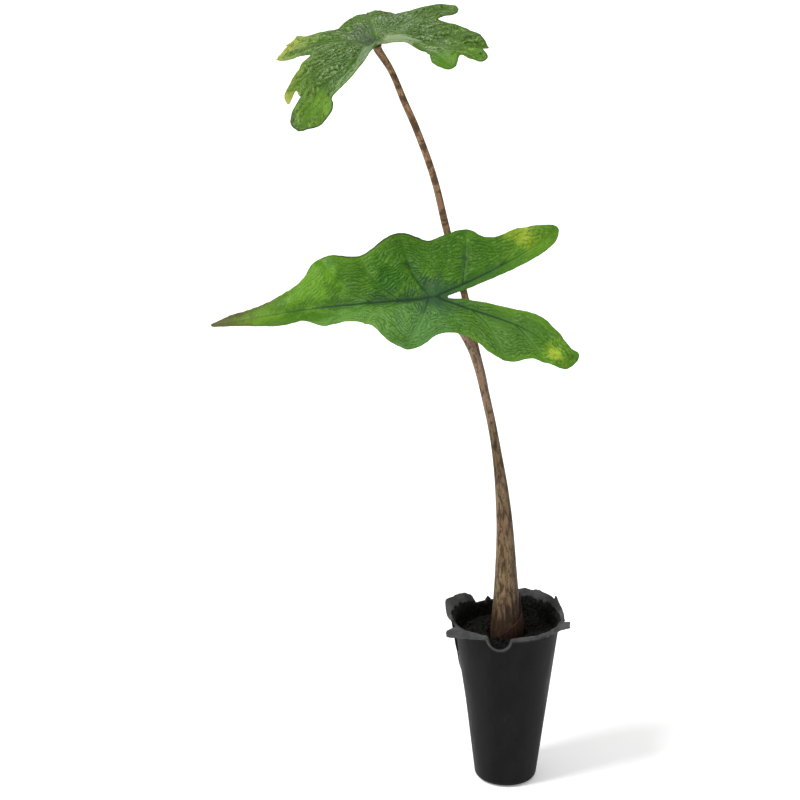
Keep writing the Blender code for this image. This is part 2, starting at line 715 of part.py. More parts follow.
def distance_to_runs(points, runs):
    """Distance of each point from the nearest of some polylines."""
    nearest = np.full(len(points), 1e9)
    for run in runs:
        for a, b in zip(run[:-1], run[1:]):
            along = b - a
            t = np.clip(((points - a) @ along) / (along @ along), 0, 1)
            nearest = np.minimum(nearest, np.linalg.norm(points - a - t[:, None] * along, axis=1))
    return nearest


def inside(points, ring):
    """Which points lie inside a closed outline."""
    hits = np.zeros(len(points), bool)
    for a, b in zip(ring, np.roll(ring, -1, axis=0)):
        crosses = (a[1] > points[:, 1]) != (b[1] > points[:, 1])
        reach = (b[0] - a[0]) * (points[:, 1] - a[1]) / (b[1] - a[1] + 1e-12) + a[0]
        hits ^= crosses & (points[:, 0] < reach)
    return hits


def rib_runs(ribs):
    """Each rib as a smooth polyline with a point about every RIB_STEP millimetres."""
    runs = []
    for rib in ribs:
        fine = smooth_run(rib, 12)
        length = np.concatenate([[0], np.cumsum(np.linalg.norm(np.diff(fine, axis=0), axis=1))])
        count = max(2, int(round(length[-1] / RIB_STEP)) + 1)
        at = np.linspace(0, length[-1], count)
        runs.append(np.stack([np.interp(at, length, fine[:, k]) for k in range(2)], axis=1))
    return runs


def flat_leaf(outline, ribs):
    """Triangles of the flat leaf: its outline, its ribs and an even grid between them."""
    ring = smooth_ring(outline, OUTLINE_STEPS)
    border = [np.vstack([ring, ring[:1]])]
    runs = rib_runs(ribs)
    low, high = ring.min(axis=0), ring.max(axis=0)
    columns = np.arange(low[0], high[0], GRID_STEP)
    rows = np.arange(low[1], high[1], GRID_STEP * math.sqrt(3) / 2)
    grid = np.array([(x + (i % 2) * GRID_STEP / 2, y) for i, y in enumerate(rows) for x in columns])
    clear = distance_to_runs(grid, border) > 0.5 * GRID_STEP
    clear &= distance_to_runs(grid, runs) > 0.55 * GRID_STEP
    grid = grid[inside(grid, ring) & clear]
    on_ribs = np.vstack(runs)
    kept = inside(on_ribs, ring) & (distance_to_runs(on_ribs, border) > 0.3 * GRID_STEP)
    on_ribs = on_ribs[kept]
    apart = [on_ribs[0]]
    for point in on_ribs[1:]:
        if min(np.linalg.norm(point - other) for other in apart) > 0.45 * RIB_STEP:
            apart.append(point)
    points = np.vstack([ring, np.array(apart), grid])
    n = len(ring)
    edges = [(i, (i + 1) % n) for i in range(n)]
    points = [Vector(p) for p in points]
    verts, _, faces, _, _, _ = delaunay_2d_cdt(points, edges, [list(range(n))], 1, 1e-4)
    return np.array([(p.x, p.y) for p in verts]), faces, runs


def make_blade(name, outline, ribs, seat, pose, form, swells):
    """A blade whose ribs are sunk in its upper face and stand out below, most of all near the stalk."""
    flat, faces, runs = flat_leaf(outline, ribs)
    on_rib = np.exp(-((distance_to_runs(flat, runs) / RIB_HALF_WIDTH) ** 2))
    reach = np.hypot(flat[:, 0], flat[:, 1])
    sink = RIB_SINK * on_rib * (1 - np.exp(-reach / SEAT_FLAT))
    bent = bend_leaf(flat, pose, form, swells) - sink[:, None] * leaf_axes(pose)[2]
    mesh = bpy.data.meshes.new(name)
    mesh.from_pydata([tuple(p * MM) for p in bent], [], faces)
    blade = mesh_object(name, mesh)
    blade.location = Vector(seat) * MM
    stiff = blade.vertex_groups.new(name="ribs")
    for index, weight in enumerate(on_rib * np.exp(-reach / RIB_FADE)):
        stiff.add([index], float(weight), "REPLACE")
    shell = blade.modifiers.new("thickness", "SOLIDIFY")
    shell.thickness = RIB
    shell.offset = -1.0
    shell.vertex_group = "ribs"
    shell.thickness_vertex_group = LAMINA / RIB


clear_scene()
PARTS = new_collection("potted_alocasia")
CUTTERS = new_collection("cutters")
make_pot()
make_potting_mix()
make_corm()
make_scale_leaf()
make_lower_stalk()
make_upper_stalk()
make_blade("lower_leaf_blade", LOWER_OUTLINE, LOWER_RIBS, LOWER_SEAT, LOWER_POSE, LOWER_FORM, LOWER_SWELLS)
make_blade("upper_leaf_blade", UPPER_OUTLINE, UPPER_RIBS, UPPER_SEAT, UPPER_POSE, UPPER_FORM, UPPER_SWELLS)
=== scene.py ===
import math

import bmesh
import bpy
import numpy as np
from mathutils import Matrix, Vector, kdtree, noise
from mathutils.geometry import delaunay_2d_cdt


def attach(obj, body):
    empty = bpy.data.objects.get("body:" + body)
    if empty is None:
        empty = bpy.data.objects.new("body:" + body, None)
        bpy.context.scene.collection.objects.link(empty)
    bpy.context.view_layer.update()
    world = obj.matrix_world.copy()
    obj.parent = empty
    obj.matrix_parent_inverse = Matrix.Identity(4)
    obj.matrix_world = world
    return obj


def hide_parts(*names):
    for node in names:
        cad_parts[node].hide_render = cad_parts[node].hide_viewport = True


# A young potted alocasia with two leaves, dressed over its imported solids. Lengths in the tables are in
# millimetres and meshes are in metres. Leaves are drawn flat from the point where the stalk meets them: u
# runs to the tip and v to the leaf's left. Tables of the part's source are repeated, some with points moved.

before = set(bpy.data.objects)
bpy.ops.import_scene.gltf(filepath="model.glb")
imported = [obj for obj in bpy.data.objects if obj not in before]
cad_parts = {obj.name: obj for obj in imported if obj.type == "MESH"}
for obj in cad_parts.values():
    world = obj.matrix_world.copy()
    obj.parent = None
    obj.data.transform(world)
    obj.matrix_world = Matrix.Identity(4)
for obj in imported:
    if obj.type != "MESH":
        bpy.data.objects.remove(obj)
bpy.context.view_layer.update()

MM = 0.001
GAP = 0.3

# Camera and light
CAMERA_PLACE = (-0.053, -0.9, 0.465)
CAMERA_TILT = 16.62
CAMERA_LENS = 88.83
CAMERA_SENSOR = 36.0
SKY_TOP = 0.95
SKY_SIDE = 0.38
SUN_FROM = (-0.58, -0.3, 0.76)
SUN_POWER = 2.4
SUN_WIDTH = 16.0
FLOOR_GLOW = 0.22
FLOOR_HALF = 14.0
FLOOR_SINK = 0.0003

# Pot
POT_HEIGHT = 83.0
RIM_RADIUS = 25.4
FOOT_RADIUS = 15.5
FOOT_ROUND = 3.0
POT_WALL = 1.0
# Torn flange, going round from the right: angle in degrees, reach, rise and, where its edge curls down,
# by how much
FLANGE = (
    (0, 2.2, 0.3, 0.3), (5, 2.7, 0.8, 0.2), (10, 3, 1.8), (20, 3.3, 3.4), (22.2, 3.2, 4.2),
    (23.4, 1.3, 9.2), (24.8, 3.2, 4.4), (40, 3.8, 5.4), (56, 3.4, 6.2), (72, 3, 6), (84, 2.6, 5.4),
    (89, 0.5, 0), (99, 0.6, 0), (100.5, 0.7, 2), (102, 0.5, 0.3), (107, 0.6, 0.5), (109, 0.9, 1.7),
    (110.5, 0.9, 3), (112, 0.6, 0.3), (126, 0.5, 0), (130, 2.5, 4.4), (138, 3.4, 6.4), (146, 4, 7.2),
    (152, 4.8, 6.8), (158, 5.4, 6.8), (162, 6.4, 6.6), (167, 5.2, 4.4), (172, 4.2, 2.4, 0.3),
    (180, 2.2, 0.8, 0.3), (187, 0.5, 0, 0.2), (205, 0.5, 0, 0.3), (209, 8.8, 3.2, 2.2), (219, 13, 4.2, 2.8),
    (225, 9.2, 4.2, 2.9), (232, 5.4, 3.6, 2.8), (239, 2.9, 2.6, 2.6), (242.5, 1.7, 2.2, 2.2),
    (244.5, 0.8, 0.7, 0.6), (248, 0.5, 0), (269, 0.5, 0), (272, 0.8, 1, 0.8), (282, 1, 1.9, 1.8),
    (300, 1.5, 1.7, 1.6), (318, 2.2, 2, 1.5), (329, 3.4, 2.8, 1.5), (335, 7, 3, 1.4), (344, 5.8, 3, 1),
    (349, 2.6, 0.8, 0.5), (360, 2.2, 0.3, 0.3),
)
BULGE_ANGLE = 184
BULGE_HALF_WIDTH = 42
BULGE = 1.2
BULGE_FOOT = 36.0
NOTCH_RADIUS = 6.3
NOTCH_ANGLE = 257.8
NOTCH_DEPTH = 5.5
SLIVER_ANGLE = 183.0
SLIVER_LENGTH = 26.0
SLIVER_THICK = 0.9
SLIVER_HALF_WIDTH = 1.5
SLIVER_STEPS = 30
DRAIN_RADIUS = 2.0
DRAIN_CIRCLE = 8.5
DRAINS = 4
DRAIN_SIDES = 40
DRAIN_CUT = 5
RIM_COLUMNS = 320
NOTCH_COLUMNS = 40
FLANGE_ROWS = 9
WALL_ROWS = 46
FOOT_STEPS = 6
UNDERSIDE_RINGS = (10.6, 8.5, 6.4, 3.0, 0.01)
SHARP_EDGE = 40

# Potting mix
MIX_LEVEL = 77.0
MIX_RELIEF = 1.1
HOLE_RADIUS = 9.9
HOLE_CENTRE = -0.4
HOLE_FLOOR = 36.0
MIX_COLUMNS = 190
MIX_ROWS = 48
HOLE_CLEARANCE = 0.2
POINT_RADIUS = 0.001
# Crumbs: how many, where they lie, how near to the wall, and their sizes and shades with the share of each
CRUMBS = 420
CRUMB_SEED = 11
CRUMB_RING = (10.6, 21.4)
CRUMB_LIMIT = 22.3
CRUMB_SIZES = ((0.8, 1.2, 1.8, 2.6, 3.6), (0.3, 0.3, 0.2, 0.13, 0.07))
CRUMB_TONES = ((0.0, 0.15, 0.4, 1.0), (0.5, 0.25, 0.15, 0.1))

# Foot of the plant and the scale leaf round it
FOOT_OF_STALKS = 58.3
SCALE_LEAF_FOOT = 60.0
SCALE_LEAF_TOP = 82.5
SCALE_LEAF_SLANT = 6.5
SCALE_LEAF_TONGUE = 8.5
SCALE_LEAF_WALL = 0.12
SCALE_LEAF_COLUMNS = 150
SCALE_LEAF_ROWS = 44

# Stalks. Centre and radius along the upper one and the free part of the lower one, then the depth below
# the blade and radius of their ends
UPPER_STALK = (
    (-0.2, 0, 50, 4.4), (-0.5, 0, 76.4, 4.3), (-0.9, 0.5, 93.7, 3.5), (-1.4, 1.2, 114.5, 2.7),
    (-2, 2, 129.8, 2.2), (-3.8, 3, 150, 1.8), (-6.6, 4, 170, 1.7), (-9.3, 4.8, 184.9, 1.7),
    (-11.4, 5.2, 194.8, 1.7), (-13.2, 5.6, 204.6, 1.7), (-17, 6.4, 220, 1.7), (-22.5, 8, 245.7, 1.7),
    (-31.1, 9.8, 276.6, 1.75), (-36.9, 11, 300.1, 1.65), (-45.2, 11.8, 323.3, 1.65),
    (-51.3, 12.2, 337.1, 1.6), (-56.8, 13.2, 350, 1.5),
)
LOWER_STALK = (
    (-14.2, -0.6, 206.4, 2.1), (-17.2, -3, 216.9, 2.05), (-19.6, -5.2, 223.5, 2), (-23.8, -8.5, 232, 2),
    (-30, -11.4, 241.5, 2), (-34.8, -13.6, 245.8, 2),
)
STALK_ENDS = ((5.5, 1.9), (2.0, 2.2))
# The lower stalk's foot wraps the upper stalk: height, outer radius, front wall and half its wrap in degrees
SHEATH = (
    (58.3, 8.2, 3.4, 168), (77, 8.2, 3.5, 166), (93.7, 6.65, 2.9, 160), (114.5, 5.15, 2.3, 150),
    (129.8, 4.2, 2.2, 138), (150, 3.2, 2.6, 118), (170, 2.9, 3.4, 100), (186, 2.7, 4.1, 90),
)
SHEATH_ROUNDS_FROM = 138.0
SHEATH_ENDS = 186.0
SHEATH_EDGE = 0.7
STALK_TURN = 2.1
SHEATH_SIDES = 44
SHEATH_STATIONS = 150
STALK_SIDES = 40
UPPER_STATIONS = 430
CURVE_STEPS = 12
UPPER_END_STEPS = 20
FREE_STALK_STEPS = 16

# Blades
LAMINA = 0.35
RIB = 1.5
RIB_FADE = 60.0
SEAT_FLAT = 5.0
GRID_STEP = 0.52
GRID_JITTER = 0.08
# Shares of the grid's step: between points of the border, and kept clear of the border and of ribs
BORDER_STEP = 1.15
BORDER_CLEAR = 0.6
RIB_CLEAR = 0.55
WELD = 0.06
BLISTER_JITTER = 0.33
THICKNESS_LEVELS = 60

# Each leaf: its seat, its heading, pitch and roll in degrees, its form (angle round the seat, lift and droop
# in degrees), its swells (u, v, height and width), its outline and its ribs
LOWER_SEAT = (-36.97, -20.0, 252.04)
LOWER_POSE = (180.0, -3.0, -49.0)
LOWER_FORM = (
    (-150, 0, 0.1), (-80, 0, 0.12), (-24, 2, 0.1), (0, 0, 0.1), (24, 18, 0.12), (80, 18, 0.2),
    (150, 2, 0.12), (180, 0, 0.1),
)
LOWER_SWELLS = (
    (14, -30, 1.6, 9), (2, -28, -1.2, 8), (-16, -31, 1.4, 8), (-28, -28, -1.2, 9), (50, -20, 1.3, 9),
    (-50, -30, 1.5, 11), (16, 28, 1.4, 8), (-4, 19, -1, 8), (-26, 30, 1.2, 9), (-52, 33, 1.4, 10),
    (60, 8, -1, 9),
)
LOWER_OUTLINE = (
    (105, 3.5), (98, 0.6), (88, -1.4), (76, -5), (62, -12.5), (55.5, -21), (48, -24), (38, -23),
    (30, -25.5), (22, -32), (15, -35), (8, -32.5), (2, -30.5), (-6, -32.5), (-16, -35), (-23, -31.5),
    (-30, -31), (-39, -34.5), (-50, -36), (-57, -36.4), (-59.8, -34), (-58.6, -29), (-55.5, -24.3),
    (-46, -17.5), (-30, -9.5), (-15, -3.5), (-6, 0.2), (-15, 2.1), (-31, 7), (-46, 11.4), (-54.3, 19),
    (-60.2, 28.2), (-63.7, 31), (-63.3, 34.8), (-57, 39.5), (-49, 36.5), (-42, 34), (-34, 36), (-25, 33),
    (-17, 25.5), (-9, 21), (-1, 22.5), (7, 29.5), (15, 31.5), (23, 27), (31, 18), (40, 17), (48, 17.5),
    (55, 16), (61, 10.5), (70, 12.5), (80, 11), (91, 7.5),
)
LOWER_RIBS = (
    ((-2, 0), (30, 0.5), (62, 1), (90, 2.8), (104, 3.5)),
    ((3, -1), (10, -14), (15, -33)),
    ((17, 0), (28, -10), (34, -23)),
    ((30, 0), (41, -6), (48, -15), (52, -22)),
    ((-2, -1), (-14, -6.5), (-31, -15), (-50, -26), (-57, -32)),
    ((-13, -6.5), (-15, -20), (-16, -34)),
    ((-31, -15), (-38, -24), (-44, -34)),
    ((3, 1), (7, 14), (14, 30)),
    ((17, 1), (28, 9), (33, 17)),
    ((30, 1), (42, 8), (51, 16)),
    ((-2, 1), (-16, 7), (-38, 16.7), (-50, 26), (-59, 36)),
    ((-16, 7), (-24, 17), (-30, 34)),
    ((-36, 16), (-42, 24), (-48, 36)),
)

UPPER_SEAT = (-63.98, 12.0, 364.11)
UPPER_POSE = (103.0, 29.0, -18.0)
UPPER_FORM = (
    (-160, 4, 0.3), (-135, 10, 0.45), (-90, 4, 0.5), (-60, 0, 0.5), (-40, 0, 0.75), (-22, 0, 1),
    (0, 0, 0.75), (22, 0, 0.95), (45, 0, 0.68), (62, 0, 0.55), (90, 3, 0.5), (135, 6, 0.45), (160, 4, 0.3),
    (180, 4, 0.3),
)
UPPER_SWELLS = (
    (-7, -11, 3.2, 9), (34, 35, 2.6, 16), (51, 43, 7, 9), (-18, 30, 1.2, 10), (-4, 30, -1.2, 8),
    (-22, -36, 1.2, 9), (-8, -34, -1, 8), (18, -28, 1, 8), (50, -18, 1.4, 9), (50, 18, 1.4, 9),
    (66, 0, 1.2, 9), (41, 37, 3.2, 5), (-7, -43, 1.2, 7),
)
UPPER_OUTLINE = (
    (-2, 0), (-4, -4.5), (-8, -10.5), (-12.5, -16), (-19, -21), (-26, -20.6), (-30.3, -22.8), (-33.5, -27),
    (-32.5, -31), (-27.3, -34.5), (-30.3, -38), (-32.3, -43), (-28, -47), (-22, -45.5), (-21, -49),
    (-15, -48.5), (-7, -45), (-1, -39.5), (4, -33), (6.6, -31), (9.2, -35.5), (13, -40.5), (18.5, -43),
    (24.5, -42.5), (28, -36.5), (26.5, -29), (25, -24), (28, -16), (36, -18), (46, -26), (53, -27),
    (54, -20), (50, -11), (57, -9), (66, -12), (71, -9), (76, -3.5), (88, 0), (76, 3.5), (71, 9), (66, 13),
    (57, 10), (50, 12), (54, 21), (53, 28), (46, 28), (36, 22), (30, 19), (33, 27), (39, 36), (51, 42),
    (49, 46.5), (41, 45), (37, 50), (28, 49.5), (19, 44.5), (13, 35.5), (9, 31), (4, 36), (-1, 42),
    (-7, 46.8), (-11, 48.8), (-16.6, 48.4), (-17.8, 46.8), (-14, 45), (-10.6, 43), (-13, 42), (-16, 41.6),
    (-17.8, 39.2), (-21, 42.5), (-25, 47), (-31, 49), (-37, 45.5), (-39.5, 39), (-38, 31), (-33, 27),
    (-28, 26.5), (-24, 20.5), (-20.5, 16), (-17, 12.3), (-12.7, 8.6), (-5.5, 3.6),
)
UPPER_RIBS = (
    ((-1, 0), (30, 0), (60, 0), (86, 0)),
    ((5, -2), (13, -18), (19, -32), (23, -39)),
    ((27, -1), (40, -14), (51, -25)),
    ((46, -0.5), (58, -5), (68, -10.5)),
    ((5, 2), (16, 20), (27, 36), (35, 48)),
    ((27, 37), (38, 39.5), (49, 44)),
    ((27, 1), (40, 15), (51, 26)),
    ((46, 0.5), (58, 5), (68, 11)),
    ((-1, -1), (-8, -14), (-14, -28), (-18, -40), (-18, -47.5)),
    ((-8, -14), (-20, -22.5), (-31, -28)),
    ((-14, -28), (-22, -37), (-28, -44)),
    ((-12, -24), (-7, -34), (-6, -43)),
    ((-1, 1), (-8, 13), (-15, 25), (-25, 36), (-34, 46)),
    ((-15, 25), (-26, 31), (-37, 36)),
    ((-15, 25), (-14, 34), (-15.5, 41)),
    ((-7, 11), (-3, 24), (-5, 40), (-13, 47)),
)

# Marks on the flat leaves: u, v, full within, none past, strength and colour, and for some a stretch across
# and how near to the margin they stay
LOWER_MARKS = (
    # The first two rows: the front half's lighter green with a painted sheen.
    (8, 16, 7, 26, 0.9, (0.105, 0.245, 0.06)), (36, 13, 6, 24, 0.9, (0.135, 0.3, 0.055), 1.2),
    (-30, 24, 5, 26, 0.8, (0.085, 0.2, 0.026)), (-50, -26, 5, 22, 0.85, (0.105, 0.24, 0.012)),
    (60, -13, 5, 22, 0.9, (0.135, 0.31, 0.014)), (84, 2, 4, 20, 0.9, (0.14, 0.28, 0.02), 1.4),
    (20, -10, 3, 12, 0.9, (0.018, 0.105, 0.001)), (8, -22, 2, 9, 0.5, (0.035, 0.125, 0.006)),
    # Painted shade: rows at (4, -6), (8, -14), (11, -18) and (6, -10) lie along the fold below the seat, the
    # row at (-14.3, -17) in a groove beside a rib, and those at (25, -1) and (14, 1) in the channel along the
    # midrib.
    (0, 0, 3, 14.5, 0.9, (0.026, 0.075, 0.03), 1.1), (4, -6, 1, 6, 0.7, (0.014, 0.052, 0.016)),
    (8, -14, 0.5, 5, 0.65, (0.01, 0.05, 0.01)), (11, -18, 0.5, 3.5, 0.6, (0.01, 0.05, 0.01)),
    (6, -10, 0.5, 3.5, 0.5, (0.01, 0.05, 0.012)), (-14.3, -17, 0.5, 3.4, 0.8, (0.016, 0.056, 0.02), 0.3),
    (25, -1, 1, 9, 0.55, (0.03, 0.085, 0.03), 1.6), (14, 1, 1, 8, 0.7, (0.028, 0.08, 0.03), 2),
    (30, -24, 6, 45, 0.45, (0.11, 0.25, 0.012), 1, 3), (-40, 20, 6, 34, 0.55, (0.12, 0.26, 0.015), 1, 2.6),
    (-39, -32, 2, 9, 0.65, (0.23, 0.34, 0.016)), (-44.5, -30, 1, 7, 0.62, (0.31, 0.39, 0.02), 0.7),
    (-42, -35, 1, 4, 0.6, (0.34, 0.44, 0.05)), (-52, 31, 2, 8, 0.55, (0.25, 0.42, 0.02)),
    (-53, 32, 1, 4.5, 0.85, (0.45, 0.57, 0.05)), (24, -34, 12, 34, 0.8, (0.034, 0.034, 0.02), 1, 0.6),
    (90, -1, 6, 26, 0.65, (0.11, 0.095, 0.04), 1, 1), (106, 3.5, 7, 25, 0.85, (0.105, 0.085, 0.028)),
)
UPPER_MARKS = (
    (-28, 36, 4, 16, 0.8, (0.076, 0.174, 0.005)), (-28, -26, 3, 11, 0.9, (0.075, 0.195, 0.005)),
    (-26, -42, 2, 9, 0.7, (0.09, 0.21, 0.015)), (12, -12, 6, 18, 0.5, (0.08, 0.15, 0.05)),
    (-10, -32, 5, 18, 0.35, (0.08, 0.16, 0.035)), (34, 36, 6, 18, 0.85, (0.21, 0.31, 0.055)),
    # Painted shade: the rows at (6, 3) and (16, 7) along the fold that runs from the seat, and the one at (0,
    # 1) at the seat.
    (6, 3, 1, 8, 0.8, (0.048, 0.074, 0.042), 1.4), (16, 7, 2, 12, 0.75, (0.06, 0.09, 0.05), 1.9),
    (0, 1, 0.5, 4.5, 0.8, (0.022, 0.048, 0.02)), (-17, 24, 1, 9, 0.5, (0.04, 0.1, 0.02)),
    # The row at (-28, 32): the lobe's brighter green with a painted highlight.
    (-30, 44, 1, 12, 0.6, (0.045, 0.085, 0.03), 1, 1.8), (-28, 32, 1, 8, 0.4, (0.14, 0.3, 0.012)),
    (-8, 7, 5, 12, 0.92, (0.165, 0.25, 0.12), 1, 4.2), (-19, 18, 6, 14, 0.85, (0.135, 0.245, 0.07), 1, 4.2),
    (-5, -10, 6, 13, 0.95, (0.24, 0.32, 0.16), 1, 3.8), (-16, -27, 3, 10, 0.35, (0.15, 0.24, 0.09)),
    (44, 47, 6, 20, 0.85, (0.32, 0.36, 0.04)), (32, 48, 3, 12, 0.8, (0.34, 0.36, 0.04)),
    (52, 44, 3, 10, 0.9, (0.56, 0.43, 0.1)), (33, 51, 1, 6, 0.85, (0.56, 0.43, 0.1)),
    (-13, 49, 4, 8, 0.9, (0.34, 0.37, 0.06)), (-16, 49, 1, 4, 0.7, (0.42, 0.44, 0.11)),
    (-15, 42, 0.5, 3, 0.7, (0.3, 0.45, 0.18)), (-2, 42, 4, 16, 0.7, (0.17, 0.26, 0.02), 1, 2.4),
    (16, 44, 4, 16, 0.65, (0.23, 0.31, 0.08), 1, 2.2), (-34, 36, 8, 16, 0.6, (0.035, 0.045, 0.03), 1, 0.4),
)
# What only the finer pieces have. Calm places keep a share of the ridges: u, v, full within, none past and
# that share. Folds are points on the flat leaf, a depth (below zero is a ridge) and a width.
LOWER_CALMS = (
    (82, 0, 10, 32, 0.15), (52, -14, 8, 22, 0.5), (50, 8, 6, 16, 0.4), (0, 0, 4, 10, 0.1),
    (-34, -15, 3, 9, 0.3), (-22, -9, 3, 9, 0.3), (-50, -22, 3, 9, 0.4), (-30, 13, 3, 8, 0.4),
    (-45, 18, 3, 8, 0.4), (60, -20, 4, 10, 0.3),
)
UPPER_CALMS = (
    (-3, 3, 3, 8, 0.3), (8, 4, 3, 9, 0.25), (-5, -8, 4, 9, 0.2), (50, 44, 3, 9, 0.2), (32, 50, 2, 7, 0.2),
    (-14, 46, 3, 7, 0.2), (-30, 37, 3, 10, 0.35), (-28, -28, 4, 9, 0.35),
)
LOWER_FOLDS = (
    (((3, -3), (9, -14), (13, -26)), 1.1, 2.0),
    (((-20, 3), (-36, 9), (-52, 16)), -0.7, 3.0),
    (((-20, 30), (-36, 31.5), (-52, 33)), 0.5, 1.6),
    (((-26, -12), (-40, -19), (-50, -27)), -0.6, 3.0),
    (((22, -12), (38, -16), (56, -14)), -0.8, 6.0),
    (((60, -12), (72, -5), (84, 0)), 0.6, 3.0),
)
UPPER_FOLDS = (
    (((-1, 1), (13, 8), (30, 12)), 2.2, 3.4),
    (((0, -2), (12, -6), (28, -6)), -1.2, 5.0),
    (((-5, -6), (-12, -15), (-22, -21)), 0.9, 3.0),
    (((-6, 8), (-16, 18), (-24, 26)), 0.9, 2.6),
    (((6, 10), (6, 24), (2, 38)), -1.3, 4.5),
    (((-4, 20), (-14, 34), (-26, 42)), -1.0, 4.0),
    (((0, -12), (4, -24), (14, -36)), -1.0, 4.0),
)
# Seed, depth and width of the valleys along ribs, furrows by distance from the margin, furrows in a radian
# round the seat and their depth, size and depth of the blisters, and half widths of the ribs: main at the
# seat, side ribs at their start, and any at its end
LOWER_TEXTURE = (3, (1.25, 3.4), (1.7, 0.0, 0.22), (3.0, 0.14), (0.6, 0.34, 0.14))
UPPER_TEXTURE = (8, (1.9, 3.8), (12.0, 10.0, 0.45), (2.6, 0.2), (0.7, 0.4, 0.15))
# Looks of the upper faces. The crest tints are painted highlights, the first near the seat and the second far
# from it, and the crest and speck weights set their strength. The furrow tint and weight give dark lines that
# are partly dark fine veins and partly painted shade; the vein weight also sets painted shade in the valleys
# along the ribs.
LOWER_LOOK = {
    "greens": ((0.038, 0.124, 0.004), (0.06, 0.166, 0.007), (0.1, 0.235, 0.014)),
    "furrow_shade_and_mottle_tint": (0.01, 0.055, 0.003), "furrows": 0.6,
    "crest_highlight_tints": ((0.24, 0.4, 0.11), (0.24, 0.4, 0.11)), "crest_highlights": 0.38, "specks": 0.07,
    "vein_tint": (0.01, 0.03, 0.012), "veins_and_rib_shade": 0.9,
}
UPPER_LOOK = {
    "greens": ((0.036, 0.094, 0.002), (0.062, 0.14, 0.003), (0.094, 0.19, 0.004)),
    "furrow_shade_and_mottle_tint": (0.005, 0.026, 0.001), "furrows": 0.95,
    "crest_highlight_tints": ((0.43, 0.54, 0.32), (0.3, 0.48, 0.11)), "crest_highlights": 0.7, "specks": 0.44,
    "vein_tint": (0.045, 0.085, 0.04), "veins_and_rib_shade": 0.12,
}


# Curves and surfaces


def between(a, b, c, d, t):
    """A point at t from b to c on the smooth curve through a, b, c and d."""
    bend = 2 * a - 5 * b + 4 * c - d
    twist = 3 * b - a - 3 * c + d
    return 0.5 * (2 * b + (c - a) * t + bend * t * t + twist * t**3)


def smooth(points, steps, closed=False):
    """A smooth curve through points of any width: steps samples for each stretch."""
    p = np.array(points, float)
    if closed:
        p = np.vstack([p[-1:], p, p[:2]])
    else:
        p = np.vstack([2 * p[0] - p[1], p, 2 * p[-1] - p[-2]])
    run = [between(*p[i:i + 4], k / steps) for i in range(len(p) - 3) for k in range(steps)]
    return np.array(run if closed else [*run, p[-2]])


def spline_of(table):
    """A function of the first column that gives the others, smooth and without overshoot."""
    rows = np.array(sorted(table), float)
    x, v = rows[:, 0], rows[:, 1:]
    slope = np.diff(v, axis=0) / np.diff(x)[:, None]
    tangent = np.zeros_like(v)
    same_way = slope[:-1] * slope[1:] > 0
    both = slope[:-1] + slope[1:]
    mean = 2 * slope[:-1] * slope[1:] / np.where(same_way, both, 1.0)
    tangent[1:-1] = np.where(same_way, mean, 0.0)
    tangent[0] = slope[0]
    tangent[-1] = slope[-1]

    def value(at):
        at = np.asarray(at, float)
        i = np.clip(np.searchsorted(x, at) - 1, 0, len(x) - 2)
        h = (x[i + 1] - x[i])[..., None]
        t = ((at - x[i]) / (x[i + 1] - x[i]))[..., None]
        near = (1 + 2 * t) * (1 - t) ** 2 * v[i] + t * (1 - t) ** 2 * h * tangent[i]
        far = t * t * (3 - 2 * t) * v[i + 1] + t * t * (t - 1) * h * tangent[i + 1]
        return near + far

    return value


def ease(t):
    t = np.clip(t, 0.0, 1.0)
    return t * t * (3 - 2 * t)


def lengths_along(line):
    return np.concatenate([[0], np.cumsum(np.linalg.norm(np.diff(line, axis=0), axis=1))])


def resample(line, step, closed=False):
    """A polyline with its points about one step apart."""
    if closed:
        line = np.vstack([line, line[:1]])
    length = lengths_along(line)
    count = max(3, int(round(length[-1] / step)) + 1)
    at = np.linspace(0, length[-1], count)
    out = np.stack([np.interp(at, length, line[:, k]) for k in range(line.shape[1])], axis=1)
    return out[:-1] if closed else out


def ripple(points, size, shift=0.0, octaves=2):
    """Smooth noise between about -1 and 1 at each point, with features of one size."""
    points = np.asarray(points, float)
    if points.shape[1] == 2:
        points = np.hstack([points, np.zeros((len(points), 1))])
    out = np.zeros(len(points))
    for octave in range(octaves):
        finer = 2.1**octave
        place = points * finer / size + shift + 17.3 * octave
        out += np.array([noise.noise(Vector(p)) for p in place]) / finer**0.8
    return out


# Meshes and pieces


def turns_round(count):
    return np.linspace(0, math.tau, count, endpoint=False)


def directions(turns):
    """Level directions at angles in radians."""
    return np.stack([np.cos(turns), np.sin(turns)], axis=1)


def raised(flat, z):
    """Level points at one height or at one each."""
    return np.column_stack([flat, np.broadcast_to(z, len(flat))])


def mesh_of(name, verts, faces, **values):
    """A mesh, with numbers or vectors kept at its points for its material, as an array or a list of them."""
    mesh = bpy.data.meshes.new(name)
    mesh.from_pydata([tuple(v) for v in np.vstack(verts) * MM], [], [tuple(f) for f in faces])
    mesh.update()
    for key, data in values.items():
        data = np.concatenate(data) if isinstance(data, list) else data
        data = data.astype(np.float32)
        vector = data.ndim == 2
        layer = mesh.attributes.new(key, "FLOAT_VECTOR" if vector else "FLOAT", "POINT")
        layer.data.foreach_set("vector" if vector else "value", data.ravel())
    return mesh


def face_outwards(mesh):
    bm = bmesh.new()
    bm.from_mesh(mesh)
    bmesh.ops.recalc_face_normals(bm, faces=bm.faces)
    bm.to_mesh(mesh)
    bm.free()


